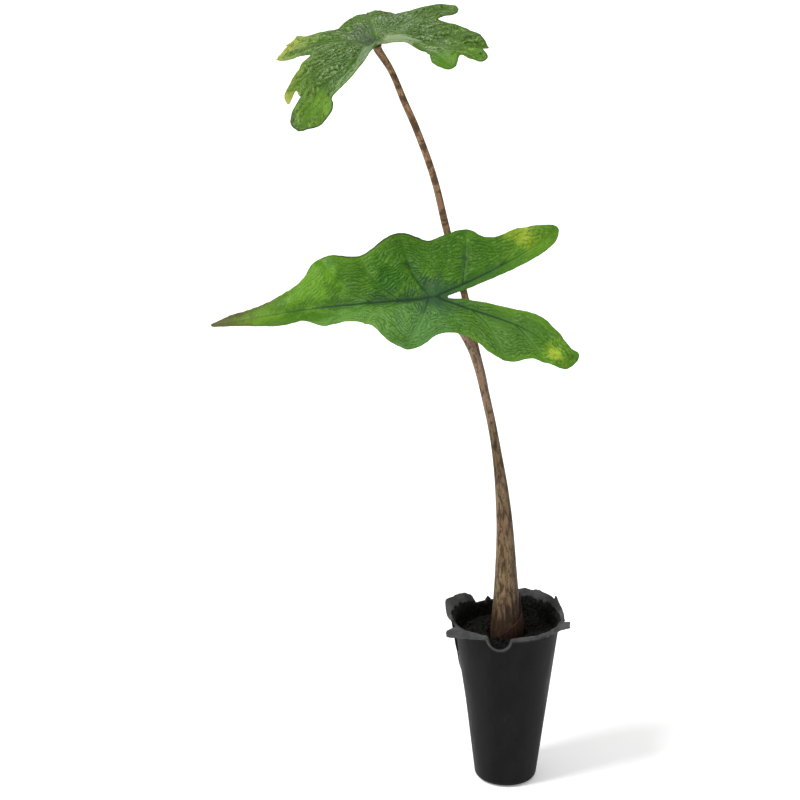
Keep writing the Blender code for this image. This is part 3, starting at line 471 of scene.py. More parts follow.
def grid_faces(rows, columns, first=0):
    """Quads of a grid that closes round. Down the rows and up the angles faces outwards."""
    j, i = np.meshgrid(np.arange(rows - 1), np.arange(columns), indexing="ij")
    here = first + j * columns + i
    after = first + j * columns + (i + 1) % columns
    return np.stack([here, here + columns, after + columns, after], axis=-1).reshape(-1, 4)


def add_object(name, data):
    item = bpy.data.objects.new(name, data)
    bpy.context.scene.collection.objects.link(item)
    return item


def add_piece(mesh, node, materials):
    """A finer piece that stands for a solid of the part, named as its mesh is."""
    piece = add_object(mesh.name, mesh)
    for made in materials:
        mesh.materials.append(made)
    mesh.shade_smooth()
    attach(piece, "root")
    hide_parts(node)
    return piece


def thicken(piece, wall, offset, inner=0):
    """Give a piece a wall, with another of its materials on the wall's inner face."""
    shell = piece.modifiers.new("wall", "SOLIDIFY")
    shell.thickness = wall * MM
    shell.offset = offset
    shell.material_offset = inner
    shell.material_offset_rim = 0
    return shell


# Materials


class Nodes:
    """A material and short ways to build its nodes. Patterns are measured in millimetres."""

    def __init__(self, name, roughness, specular=0.5, **constants):
        self.material = bpy.data.materials.new(name)
        self.material.use_nodes = True
        self.tree = self.material.node_tree
        self.shader = self.tree.nodes["Principled BSDF"]
        self.shader.inputs["Roughness"].default_value = roughness
        self.shader.inputs["Specular IOR Level"].default_value = specular
        for key, value in constants.items():
            self.shader.inputs[key.replace("_", " ")].default_value = value

    def put(self, socket, value):
        if isinstance(value, bpy.types.NodeSocket):
            self.tree.links.new(value, socket)
        elif socket.type == "RGBA":
            socket.default_value = (*value, 1.0)
        else:
            socket.default_value = value

    def add(self, kind, inputs, out=0, **settings):
        node = self.tree.nodes.new("ShaderNode" + kind)
        for key, value in settings.items():
            setattr(node, key, value)
        for key, value in inputs.items():
            self.put(node.inputs[key], value)
        return node.outputs[out]

    def value(self, name):
        return self.add("Attribute", {}, out="Fac", attribute_name=name)

    def vector(self, name):
        return self.add("Attribute", {}, out="Vector", attribute_name=name)

    def place(self):
        """Place on the object, in millimetres."""
        where = self.add("TexCoord", {}, out="Object")
        return self.scaled(where, (1000.0, 1000.0, 1000.0))

    def scaled(self, vector, by):
        return self.add("VectorMath", {0: vector, 1: by}, operation="MULTIPLY")

    def part(self, vector, axis):
        return self.add("SeparateXYZ", {0: vector}, out=axis)

    def maths(self, operation, a, b=0.0, clamp=False):
        return self.add("Math", {0: a, 1: b}, operation=operation, use_clamp=clamp)

    def times(self, a, b):
        return self.maths("MULTIPLY", a, b)

    def length(self, vector):
        return self.add("VectorMath", {0: vector}, out="Value", operation="LENGTH")

    def span(self, value, low, high, to_low=0.0, to_high=1.0):
        """The value eased from one range to another and held at its ends."""
        ends = {"Value": value, "From Min": low, "From Max": high, "To Min": to_low, "To Max": to_high}
        return self.add("MapRange", ends, interpolation_type="SMOOTHSTEP")

    def blend(self, share, a, b, how="MIX"):
        return self.add("Mix", {0: share, 6: a, 7: b}, out=2, data_type="RGBA", blend_type=how)

    def coat(self, colour, tint, value, low, high, most=1.0):
        """The colour with a tint laid over it, by up to a share, as a value goes from low to high."""
        return self.blend(self.span(value, low, high, 0.0, most), colour, tint)

    def noise(self, vector, size, detail=3.0, rough=0.55, twist=0.0):
        """Smooth noise round one half, with features of about one size."""
        ends = {"Vector": vector, "Scale": 1.0 / size, "Detail": detail, "Roughness": rough}
        return self.add("TexNoise", {**ends, "Distortion": twist})

    def cells(self, vector, size, feature="DISTANCE_TO_EDGE"):
        return self.add("TexVoronoi", {"Vector": vector, "Scale": 1.0 / size}, feature=feature)

    def warped(self, vector, by):
        """The place pushed about by coarse noise, so that lines drawn on it wander."""
        push = self.add("TexNoise", {"Vector": vector, "Scale": 0.6}, out="Color")
        return self.blend(by, vector, push, "ADD")

    def worms(self, vector, size, thin):
        """Thin short curved lines: where twisted noise crosses one half."""
        field = self.noise(vector, size, 1.0, 0.5, 1.0)
        off = self.maths("ABSOLUTE", self.maths("SUBTRACT", field, 0.5))
        return self.span(off, thin, 0.3 * thin)

    def mark(self, colour, ground, u, v, inner, outer, share, tint, stretch=1.0, rim=0.0):
        """Lay a tint at a point of the flat leaf, uneven at its edge and perhaps only near the margin."""
        flat, noisy, edge = ground
        off = self.add("VectorMath", {0: flat, 1: (u, v, 0.0)}, operation="SUBTRACT")
        far = self.length(self.scaled(off, (1.0, stretch, 1.0)))
        far = self.maths("ADD", far, self.span(noisy, 0.25, 0.75, -0.4 * outer, 0.4 * outer))
        there = self.times(self.span(far, outer, inner), share)
        if rim:
            there = self.times(there, self.span(edge, rim + 0.3 + 0.3 * rim, rim))
        return self.blend(there, colour, tint)

    def relief(self, *layers):
        """The normal under layers of relief: a height that runs from 0 to 1 and a depth in millimetres."""
        normal = {}
        for height, depth in layers:
            ends = {"Height": height, "Distance": depth * MM, "Strength": 1.0}
            normal = {"Normal": self.add("Bump", {**ends, **normal})}
        return normal["Normal"]

    def finish(self, colour, roughness, normal):
        for key, value in (("Base Color", colour), ("Roughness", roughness), ("Normal", normal)):
            self.put(self.shader.inputs[key], value)
        return self.material


def leaf_face(name, marks, greens, furrow_shade_and_mottle_tint, furrows, crest_highlight_tints, crest_highlights, specks, vein_tint, veins_and_rib_shade):
    """The upper face: dark furrows between the ribs, partly the leaf's dark fine veins and partly painted
    shade, broken pale crests that are painted highlights, and marks laid one on another, some of them painted
    shade and some painted sheen.
    """
    n = Nodes(name, 0.42, specular=0.13)
    flat = n.vector("flat")
    crest_highlight_tint = n.blend(n.span(n.length(flat), 18.0, 42.0), *crest_highlight_tints)
    wide = n.noise(flat, 20.0, 2.0)
    mid = n.noise(flat, 5.5, 4.0, 0.6)
    fine = n.noise(flat, 1.2, 3.0, 0.6)
    off, half, edge, cells = n.value("off"), n.value("half"), n.value("edge"), n.value("cells")
    colour = n.coat(greens[0], greens[1], wide, 0.35, 0.65)
    colour = n.coat(colour, greens[2], mid, 0.45, 0.75, 0.6)
    for row in marks:
        colour = n.mark(colour, (flat, mid, edge), *row)
    # Painted shade: a broad darker band in the valleys along the ribs.
    rib_valley_shade = n.times(n.span(off, 6.0, 0.3), n.span(half, 0.2, 0.6))
    colour = n.blend(n.times(rib_valley_shade, 0.65 * veins_and_rib_shade), colour, (0.024, 0.078, 0.026))
    wobble = n.noise(flat, 2.6, 3.0, 0.6)
    wave = n.maths("ADD", n.value("phase"), n.span(wobble, 0.2, 0.8, -0.35, 0.35))
    ridge = n.maths("ABSOLUTE", n.maths("SINE", n.times(wave, math.pi)))
    field = n.value("field")
    patchy = n.span(n.noise(flat, 9.0, 2.0), 0.35, 0.6, 0.55, 1.0)
    # Dark furrow lines: partly the leaf's dark fine veins and partly painted shade in the furrows; then
    # darker towards the blisters' sunken borders, which is painted shade.
    furrow = n.times(n.span(ridge, 0.5, 0.1), n.times(field, patchy))
    colour = n.blend(n.times(furrow, furrows), colour, furrow_shade_and_mottle_tint)
    colour = n.coat(colour, furrow_shade_and_mottle_tint, cells, 0.45, 0.0, 0.55)
    # Painted highlights: broken pale lines along the ridge crests, then short pale squiggles.
    broken = n.span(n.noise(flat, 1.3, 2.0, 0.5, 0.6), 0.5, 0.6)
    crest = n.times(n.span(ridge, 0.78, 0.98), n.times(field, broken))
    dense = n.span(n.noise(flat, 7.0, 2.0), 0.35, 0.65, 0.35, 1.0)
    crest = n.times(crest, dense)
    colour = n.blend(n.times(crest, crest_highlights), colour, crest_highlight_tint)
    squiggle_highlight = n.times(n.worms(flat, 1.3, 0.07), n.span(field, 0.0, 0.35))
    squiggle_highlight = n.times(squiggle_highlight, dense)
    colour = n.blend(n.times(squiggle_highlight, specks), colour, crest_highlight_tint)
    vein = n.span(n.maths("DIVIDE", off, half), 1.6, 0.3)
    vein = n.times(vein, n.span(half, 0.15, 0.42, 0.12, veins_and_rib_shade))
    colour = n.blend(vein, colour, vein_tint)
    colour = n.coat(colour, furrow_shade_and_mottle_tint, fine, 0.25, 0.75, 0.25)
    net = n.cells(n.warped(flat, 0.12), 1.0)
    normal = n.relief((n.span(net, 0.0, 0.35), 0.05), (n.times(ridge, field), 0.2), (fine, 0.07))
    rough = n.span(n.noise(flat, 3.0), 0.3, 0.7, 0.34, 0.54)
    return n.finish(colour, rough, normal)


def leaf_back(name):
    n = Nodes(name, 0.6, specular=0.18)
    flat = n.vector("flat")
    mid = n.noise(flat, 5.0, 4.0, 0.6)
    off, half, cells = n.value("off"), n.value("half"), n.value("cells")
    ridge = n.maths("ABSOLUTE", n.maths("SINE", n.times(n.value("phase"), math.pi)))
    colour = n.coat((0.17, 0.255, 0.1), (0.24, 0.33, 0.15), mid, 0.3, 0.7)
    colour = n.coat(colour, (0.3, 0.38, 0.2), ridge, 0.35, 0.0, 0.5)
    colour = n.coat(colour, (0.3, 0.38, 0.2), cells, 0.4, 0.0, 0.4)
    lines = n.cells(flat, 1.1)
    colour = n.coat(colour, (0.12, 0.2, 0.07), lines, 0.1, 0.0, 0.4)
    rib = n.span(n.maths("DIVIDE", off, half), 2.2, 0.8)
    colour = n.blend(n.times(rib, 0.8), colour, (0.33, 0.34, 0.19))
    normal = n.relief((n.span(lines, 0.0, 0.35), 0.08), (n.noise(flat, 0.9), 0.05))
    return n.finish(colour, n.span(mid, 0.3, 0.7, 0.5, 0.7), normal)


def stalk_skin(name, light, middle, dark, red, band):
    """Mottled skin: long streaks, short dark dashes and, where band is high, broken rings."""
    n = Nodes(name, 0.5, specular=0.16)
    skin = n.vector("skin")
    run = n.part(skin, "Z")
    streaks = n.noise(n.scaled(skin, (1.0, 1.0, 0.08)), 1.6, 3.0, 0.6, 0.2)
    dashes = n.noise(n.scaled(skin, (1.0, 1.0, 0.28)), 1.8, 3.0, 0.55, 0.4)
    specks = n.noise(n.scaled(skin, (1.0, 1.0, 0.45)), 1.0, 2.0, 0.5, 0.4)
    rings = n.noise(n.scaled(skin, (0.35, 0.35, 1.0)), 5.0, 3.0, 0.6, 0.8)
    broad = n.noise(n.scaled(skin, (0.3, 0.3, 1.0)), 16.0, 2.0)
    fine = n.noise(n.scaled(skin, (1.0, 1.0, 0.25)), 0.35, 3.0, 0.6)
    colour = n.coat(middle, light, streaks, 0.38, 0.62)
    colour = n.coat(colour, red, broad, 0.45, 0.65, 0.5)
    top = n.span(run, 178.0, 198.0, 0.0, 1 - band)
    colour = n.blend(n.times(top, 0.7), colour, (0.36, 0.24, 0.16))
    red_streaks = n.times(n.span(streaks, 0.5, 0.62), n.times(top, 0.6))
    colour = n.blend(red_streaks, colour, red)
    mottle = n.blend(band, dashes, rings)
    mottle = n.maths("SUBTRACT", mottle, n.times(top, 0.04))
    colour = n.coat(colour, dark, mottle, 0.46 - 0.01 * band, 0.64 - 0.09 * band, 0.8)
    colour = n.coat(colour, dark, specks, 0.56, 0.64, 0.6)
    colour = n.coat(colour, dark, fine, 0.35, 0.75, 0.3)
    # Darker towards the right side: partly the stalk's own darker colour and partly painted shade on the side
    # away from the key light.
    colour = n.coat(colour, dark, n.value("right_side"), 0.35, 1.0, 0.66 - 0.25 * band)
    foot = n.maths("ADD", run, n.span(streaks, 0.3, 0.7, -5.0, 5.0))
    colour = n.coat(colour, (0.022, 0.011, 0.007), foot, 105.0, 80.0, 0.88)
    rough = n.span(dashes, 0.3, 0.7, 0.4, 0.58)
    return n.finish(colour, rough, n.relief((streaks, 0.12), (fine, 0.05)))


def dry_scale():
    n = Nodes("dry_scale", 0.7, specular=0.1)
    skin = n.vector("skin")
    fibres = n.noise(n.scaled(skin, (1.0, 1.0, 0.07)), 0.7, 3.0, 0.6)
    blots = n.noise(skin, 3.0, 3.0)
    colour = n.coat((0.022, 0.009, 0.006), (0.08, 0.036, 0.024), fibres, 0.35, 0.65)
    colour = n.coat(colour, (0.06, 0.036, 0.022), blots, 0.45, 0.65, 0.7)
    colour = n.coat(colour, (0.014, 0.006, 0.005), n.part(skin, "Z"), 86.0, 76.0, 0.8)
    return n.finish(colour, n.span(fibres, 0.3, 0.7, 0.5, 0.75), n.relief((fibres, 0.15)))


def bark_mix():
    n = Nodes("bark_mix", 0.85, specular=0.06)
    place = n.place()
    grain = n.noise(place, 0.8, 4.0, 0.7)
    lumps = n.cells(place, 1.6, "F1")
    tone = n.value("tone")
    colour = n.coat((0.0024, 0.0023, 0.0021), (0.014, 0.0134, 0.012), grain, 0.35, 0.7)
    chips = n.coat((0.0045, 0.0036, 0.0028), (0.014, 0.011, 0.0085), grain, 0.3, 0.7)
    colour = n.blend(tone, colour, chips)
    rough = n.span(grain, 0.3, 0.7, 0.65, 0.95)
    return n.finish(colour, rough, n.relief((grain, 0.35), (lumps, 0.25)))


def corm_skin():
    n = Nodes("corm_skin", 0.8, specular=0.2)
    place = n.place()
    rings = n.noise(n.scaled(place, (0.2, 0.2, 1.0)), 1.6, 3.0)
    scurf = n.noise(place, 0.7, 4.0, 0.65)
    colour = n.coat((0.085, 0.04, 0.02), (0.19, 0.1, 0.05), rings, 0.4, 0.6)
    colour = n.coat(colour, (0.045, 0.022, 0.012), scurf, 0.5, 0.75, 0.7)
    rough = n.span(scurf, 0.3, 0.7, 0.7, 0.9)
    return n.finish(colour, rough, n.relief((n.blend(0.5, rings, scurf), 0.3)))


def pot_plastic(name, inside):
    """Satin black plastic, paler where it is torn, with a painted highlight along the flange and the wall's
    top edge. Its inside is smeared with potting mix.
    """
    n = Nodes(name, 0.5, specular=0.05 if inside else 0.075)
    place = n.place()
    grain = n.noise(place, 0.5, 3.0, 0.6)
    cloud = n.noise(n.scaled(place, (1.0, 1.0, 0.4)), 9.0, 4.0, 0.6)
    scratch = n.noise(n.scaled(place, (1.0, 1.0, 0.06)), 0.9, 4.0, 0.7, 0.4)
    colour = n.coat((0.0048, 0.0052, 0.0048), (0.0088, 0.0093, 0.0088), cloud, 0.35, 0.7)
    colour = n.coat(colour, (0.028, 0.028, 0.027), scratch, 0.6, 0.72, 0.3)
    pale = n.coat((0.04, 0.041, 0.041), (0.076, 0.077, 0.076), cloud, 0.35, 0.65)
    # The torn value holds the pallor of torn plastic and the painted highlight along the rim.
    colour = n.blend(n.value("torn"), colour, pale)
    if inside:
        smear = n.noise(place, 5.0, 4.0, 0.65)
        crust = n.noise(place, 1.2, 4.0, 0.7)
        stain = n.maths("ADD", n.value("soiled"), n.span(smear, 0.25, 0.75, -0.35, 0.35))
        soil = n.coat((0.0028, 0.0027, 0.0025), (0.019, 0.0185, 0.017), crust, 0.42, 0.68)
        colour = n.coat(colour, soil, stain, 0.35, 0.65)
    rough = n.span(cloud, 0.3, 0.7, 0.42, 0.58)
    return n.finish(colour, rough, n.relief((grain, 0.035), (cloud, 0.25)))


def floor_card():
    glow = {"Emission_Strength": FLOOR_GLOW, "Emission_Color": (1.0, 1.0, 1.0, 1.0)}
    n = Nodes("floor_card", 0.9, specular=0.1, **glow)
    grain = n.noise(n.place(), 3.0, 3.0)
    colour = n.coat((0.9, 0.9, 0.9), (0.93, 0.93, 0.93), grain, 0.3, 0.7)
    return n.finish(colour, 0.9, n.relief((grain, 0.02)))


# Blades


def leaf_axes(pose):
    """Directions of the midrib, of the leaf's left and of its upper face."""
    heading, pitch, roll = np.radians(pose)
    ahead = np.array([math.cos(heading), math.sin(heading), 0.0])
    u = ahead * math.cos(pitch) + np.array([0.0, 0.0, math.sin(pitch)])
    level = np.array([-math.sin(heading), math.cos(heading), 0.0])
    v = level * math.cos(roll) + np.cross(u, level) * math.sin(roll)
    return u, v, np.cross(u, v)


def bend_leaf(flat, pose, form, swells):
    """Points of the flat leaf laid on its drooping surface, from its seat. A ray from there is an arc."""
    u_axis, v_axis, up = leaf_axes(pose)
    rays = spline_of([(a + turn, lift, droop) for turn in (-360, 0, 360) for a, lift, droop in form])
    reach = np.hypot(flat[:, 0], flat[:, 1])
    angle = np.arctan2(flat[:, 1], flat[:, 0])
    lift, droop = np.radians(rays(np.degrees(angle))).T
    end = lift - droop * reach
    across = (np.sin(lift) - np.sin(end)) / droop
    rise = (np.cos(end) - np.cos(lift)) / droop
    for u, v, height, width in swells:
        rise = rise + height * np.exp(-((flat[:, 0] - u) ** 2 + (flat[:, 1] - v) ** 2) / width**2)
    ray = np.cos(angle)[:, None] * u_axis + np.sin(angle)[:, None] * v_axis
    return across[:, None] * ray + rise[:, None] * up


def nearest_on_runs(points, runs):
    """For each point its nearest polyline: how far it is, how far along it, which one, and its length."""
    far = np.full(len(points), 1e9)
    along = np.zeros(len(points))
    which = np.zeros(len(points), int)
    lengths = []
    for index, run in enumerate(runs):
        passed = 0.0
        for a, b in zip(run[:-1], run[1:]):
            step = b - a
            size = np.linalg.norm(step)
            t = np.clip(((points - a) @ step) / size**2, 0, 1)
            off = np.linalg.norm(points - a - t[:, None] * step, axis=1)
            closer = off < far
            far[closer] = off[closer]
            along[closer] = passed + t[closer] * size
            which[closer] = index
            passed += size
        lengths.append(passed)
    return far, along, which, np.array(lengths)


def inside(points, ring):
    """Which points lie inside a closed outline."""
    hits = np.zeros(len(points), bool)
    for a, b in zip(ring, np.roll(ring, -1, axis=0)):
        crosses = (a[1] > points[:, 1]) != (b[1] > points[:, 1])
        reach = (b[0] - a[0]) * (points[:, 1] - a[1]) / (b[1] - a[1] + 1e-12) + a[0]
        hits ^= crosses & (points[:, 0] < reach)
    return hits


def jittered_grid(low, high, step, rise, jitter, rng):
    """Staggered rows of points over a box, each pushed off its place by up to a share of the step."""
    columns, rows = np.arange(low[0], high[0], step), np.arange(low[1], high[1], rise)
    grid = np.array([(x + (i % 2) * step / 2, y) for i, y in enumerate(rows) for x in columns])
    return grid + rng.uniform(-jitter, jitter, grid.shape) * step


def flat_leaf(outline, ribs, seed):
    """Fine triangles of the flat leaf, its border's points first, with its ribs and border."""
    ring = resample(smooth(outline, CURVE_STEPS, closed=True), BORDER_STEP * GRID_STEP, closed=True)
    around = np.roll(ring, -1, axis=0) - np.roll(ring, 1, axis=0)
    outward = np.stack([around[:, 1], -around[:, 0]], axis=1) / np.linalg.norm(around, axis=1)[:, None]
    area = np.sum(ring[:, 0] * np.roll(ring[:, 1], -1) - ring[:, 1] * np.roll(ring[:, 0], -1))
    wobble = 0.22 * ripple(ring, 2.6, shift=seed) - 0.15
    ring = ring + outward * np.sign(area) * wobble[:, None]
    border = [np.vstack([ring, ring[:1]])]
    runs = [resample(smooth(rib, CURVE_STEPS), GRID_STEP) for rib in ribs]
    rise = GRID_STEP * math.sqrt(3) / 2
    rng = np.random.default_rng(seed)
    grid = jittered_grid(ring.min(axis=0), ring.max(axis=0), GRID_STEP, rise, GRID_JITTER, rng)
    grid = grid[inside(grid, ring)]
    clear = nearest_on_runs(grid, border)[0] > BORDER_CLEAR * GRID_STEP
    clear &= nearest_on_runs(grid, runs)[0] > RIB_CLEAR * GRID_STEP
    on_ribs = np.vstack(runs)
    kept = inside(on_ribs, ring) & (nearest_on_runs(on_ribs, border)[0] > BORDER_CLEAR * GRID_STEP)
    points = np.vstack([ring, on_ribs[kept], grid[clear]])
    n = len(ring)
    edges = [(i, (i + 1) % n) for i in range(n)]
    found = delaunay_2d_cdt([Vector(p) for p in points], edges, [list(range(n))], 1, WELD)
    return np.array([(p.x, p.y) for p in found[0]]), found[2], runs, border


def seat_normals(points, faces):
    """Unit normals of a surface at its points."""
    tri = np.array(faces)
    a, b, c = points[tri[:, 0]], points[tri[:, 1]], points[tri[:, 2]]
    flat = np.cross(b - a, c - a)
    out = np.zeros_like(points)
    for k in range(3):
        np.add.at(out, tri[:, k], flat)
    return out / np.linalg.norm(out, axis=1)[:, None]


def blister_net(flat, size, seed):
    """Jittered cells: none on a cell's border and one well inside it."""
    rng = np.random.default_rng(seed)
    low, high = flat.min(axis=0) - 2 * size, flat.max(axis=0) + 2 * size
    seeds = jittered_grid(low, high, size, size * 0.87, BLISTER_JITTER, rng)
    tree = kdtree.KDTree(len(seeds))
    for index, (x, y) in enumerate(seeds):
        tree.insert((x, y, 0.0), index)
    tree.balance()
    two = [tree.find_n((x, y, 0.0), 2) for x, y in flat]
    gap = np.array([second[2] - first[2] for first, second in two])
    return np.clip(gap / (0.42 * size), 0, 1)


def make_blade(node, outline, ribs, folds, calms, seat, pose, form, swells, faces_of, settings):
    """A thin blade: ribs sunk in furrows, low ridges that wander along the margins, and blisters."""
    seed, (rib_sink, rib_width), (step, rays, cross_depth), (cell_size, cell_depth), widths = settings
    flat, faces, runs, border = flat_leaf(outline, ribs, seed)
    off, along, which, lengths = nearest_on_runs(flat, runs)
    edge = nearest_on_runs(flat, border)[0]
    reach = np.hypot(flat[:, 0], flat[:, 1])
    main = np.array([np.hypot(*run[0]) < 3.0 for run in runs])[which]
    share = along / lengths[which]
    half = np.where(main, widths[0], widths[1]) * (1 - share) + widths[2] * share
    warp = ripple(flat, 7.0, shift=seed + 3.0)
    phase = rays * np.arctan2(flat[:, 1], flat[:, 0]) + edge / step + (1.2 - 0.05 * rays) * warp
    furrow = np.abs(np.sin(math.pi * phase)) ** 0.8
    cells = blister_net(flat + 0.5 * np.stack([warp, ripple(flat, 5.0, shift=9.0)], axis=1), cell_size, seed)
    open_field = ease((off - 0.3) / 1.2) * ease((edge - 0.3) / 1.8)
    for u, v, inner, outer, left in calms:
        away = np.hypot(flat[:, 0] - u, flat[:, 1] - v)
        open_field *= left + (1 - left) * ease((away - inner) / (outer - inner))
    strong = np.clip(0.75 + 0.5 * ripple(flat, 11.0, shift=seed + 8.0), 0.3, 1.2)
    sink = rib_sink * np.exp(-((off / rib_width) ** 2)) * np.where(main, 1.0, 0.75)
    sink = (sink + 0.16 * np.exp(-((off / 0.5) ** 2))) * (1 - np.exp(-reach / SEAT_FLAT))
    relief = -sink - (cross_depth * (1 - furrow) + cell_depth * (1 - cells)) * strong * open_field
    for line, depth, width in folds:
        away, at, _, (length,) = nearest_on_runs(flat, [smooth(line, CURVE_STEPS)])
        relief -= depth * np.exp(-((away / width) ** 2)) * ease(at / 4.0) * ease((length - at) / 6.0 + 0.3)
    relief += 0.3 * ripple(flat, 7.0, shift=seed + 5.0) - 0.15
    relief += 0.35 * ripple(flat, 9.0, shift=seed + 6.0) * np.exp(-edge / 2.0)
    bent = bend_leaf(flat, pose, form, swells)
    bent = bent + seat_normals(bent, faces) * relief[:, None] + np.array(seat)
    mesh = mesh_of(
        node + "_fine", bent, faces, flat=raised(flat, 0.0), off=off, half=half, edge=edge, phase=phase,
        cells=cells * open_field + 1 - open_field, field=open_field,
    )
    piece = add_piece(mesh, node, faces_of)
    stiff = piece.vertex_groups.new(name="ribs")
    thick = np.exp(-((off / 1.3) ** 2)) * np.exp(-reach / RIB_FADE)
    levels = np.round(thick * THICKNESS_LEVELS).astype(int)
    for level in np.unique(levels):
        stiff.add(np.nonzero(levels == level)[0].tolist(), level / THICKNESS_LEVELS, "REPLACE")
    shell = thicken(piece, RIB, -1.0, inner=1)
    shell.vertex_group = "ribs"
    shell.thickness_vertex_group = LAMINA / RIB


# Stalks


def upper_stalk_path():
    """Centre and radius of the upper stalk as a function of height."""
    return spline_of([(z, x, y, r) for x, y, z, r in UPPER_STALK])


def stalk_end(seat, pose):
    """The last points of a stalk, straight below the point where it meets its blade."""
    up = leaf_axes(pose)[2]
    return [(*(np.array(seat) - up * depth), radius) for depth, radius in STALK_ENDS]


def frame_along(tangent):
    """Two directions across a path: one to the right and one to the back."""
    t = tangent / np.linalg.norm(tangent)
    right = np.cross(np.array([0.0, 1.0, 0.0]), t)
    right /= np.linalg.norm(right)
    return right, np.cross(t, right)


def sheath_ring(inner, outer, front, half):
    """A C-shaped section round the upper stalk, open to the back, as (right, back) from its centre."""
    angle = np.radians(np.linspace(-half, half, SHEATH_SIDES))
    share = np.abs(angle) / math.radians(half)
    wall = outer + (inner + front - outer) * np.cos(angle / 2) ** 4
    edge = inner + SHEATH_EDGE
    radius = edge + (wall - edge) * (1 - share**4)
    face = np.stack([radius * np.sin(angle), -radius * np.cos(angle)], axis=1)
    back = inner * np.stack([np.sin(angle[::-1]), -np.cos(angle[::-1])], axis=1)
    return np.vstack([face, back])


def round_ring(radius):
    """A round section whose points go round as those of sheath_ring do."""
    n = SHEATH_SIDES
    outer = np.radians((np.arange(n) + 0.5) * 180 / n - 90)
    turns = np.concatenate([outer, outer + math.pi])
    return np.stack([radius * np.sin(turns), -radius * np.cos(turns)], axis=1)


def loft(node, route, tangents, rings, made):
    """A closed body through rings set square to a route. Keeps the place on the skin for the material."""
    verts = []
    for centre, tangent, ring in zip(route, tangents, rings):
        right, back = frame_along(tangent)
        verts.append(centre + ring[:, :1] * right + ring[:, 1:] * back)
    middles = np.array([v.mean(axis=0) for v in verts])
    passed = route[0][2] + lengths_along(middles)
    skin = [raised(ring - ring.mean(axis=0), run) for ring, run in zip(rings, passed)]
    right_side = [ring[:, 0] / np.abs(ring[:, 0]).max() for ring in rings]
    count = len(rings[0])
    last = (len(rings) - 1) * count
    faces = [*grid_faces(len(rings), count), range(count), range(last + count - 1, last - 1, -1)]
    mesh = mesh_of(node + "_fine", verts, faces, skin=skin, right_side=right_side)
    face_outwards(mesh)
    add_piece(mesh, node, [made])


def make_upper_stalk():
    path = upper_stalk_path()
    heights = np.linspace(FOOT_OF_STALKS, UPPER_STALK[-2][2], UPPER_STATIONS)
    low = path(heights)
    run = np.column_stack([low[:, 0], low[:, 1], heights, low[:, 2]])[:-1]
    ends = [*UPPER_STALK[-2:], *stalk_end(UPPER_SEAT, UPPER_POSE)]
    run = np.vstack([run, smooth(ends, UPPER_END_STEPS)])
    tangents = np.gradient(run[:, :3], axis=0)
    turns = turns_round(STALK_SIDES)
    rings = []
    for z, radius in run[:, 2:]:
        swell = 1 + 0.02 * np.cos(2 * turns + z / 60) + 0.012 * np.cos(5 * turns + z / 35)
        rings.append(radius * swell[:, None] * directions(turns))
    made = stalk_skin(
        "upper_stalk_skin", (0.34, 0.205, 0.11), (0.2, 0.11, 0.046), (0.052, 0.029, 0.011),
        (0.26, 0.125, 0.07), 0.8,
    )
    loft("upper_leaf_petiole", run[:, :3], tangents, rings, made)


def make_lower_stalk():
    """The sheathing foot opens from a C round the upper stalk into a round stalk of its own."""
    upper = upper_stalk_path()
    sheath = spline_of(SHEATH)
    rings, centres = [], []
    for z in np.linspace(FOOT_OF_STALKS, SHEATH_ENDS, SHEATH_STATIONS):
        x, y, core = upper(z)
        outer, front, half = sheath(z)
        inner = core + GAP
        wrap = sheath_ring(inner, outer, front, half)
        plain = round_ring(STALK_TURN) - np.array([0.0, inner + STALK_TURN])
        t = ease((z - SHEATH_ROUNDS_FROM) / (SHEATH_ENDS - SHEATH_ROUNDS_FROM))
        rings.append(wrap * (1 - t) + plain * t)
        centres.append(np.array([x, y, z]))
    leaves_at = centres[-1] - np.array([0.0, upper(SHEATH_ENDS)[2] + GAP + STALK_TURN, 0.0])
    ends = stalk_end(LOWER_SEAT, LOWER_POSE)
    free = smooth([(*leaves_at, STALK_TURN), *LOWER_STALK, *ends], FREE_STALK_STEPS)[1:]
    rings += [round_ring(radius) for radius in free[:, 3]]
    route = np.vstack([np.array(centres), free[:, :3]])
    onward = np.gradient(np.vstack([leaves_at, free[:, :3]]), axis=0)[1:]
    tangents = np.vstack([np.gradient(np.array(centres), axis=0), onward])
    tangents[-1] = leaf_axes(LOWER_POSE)[2]
    made = stalk_skin(
        "lower_stalk_skin", (0.235, 0.16, 0.088), (0.125, 0.082, 0.038), (0.03, 0.018, 0.007),
        (0.24, 0.13, 0.08), 0.1,
    )
    loft("lower_leaf_petiole", route, tangents, rings, made)


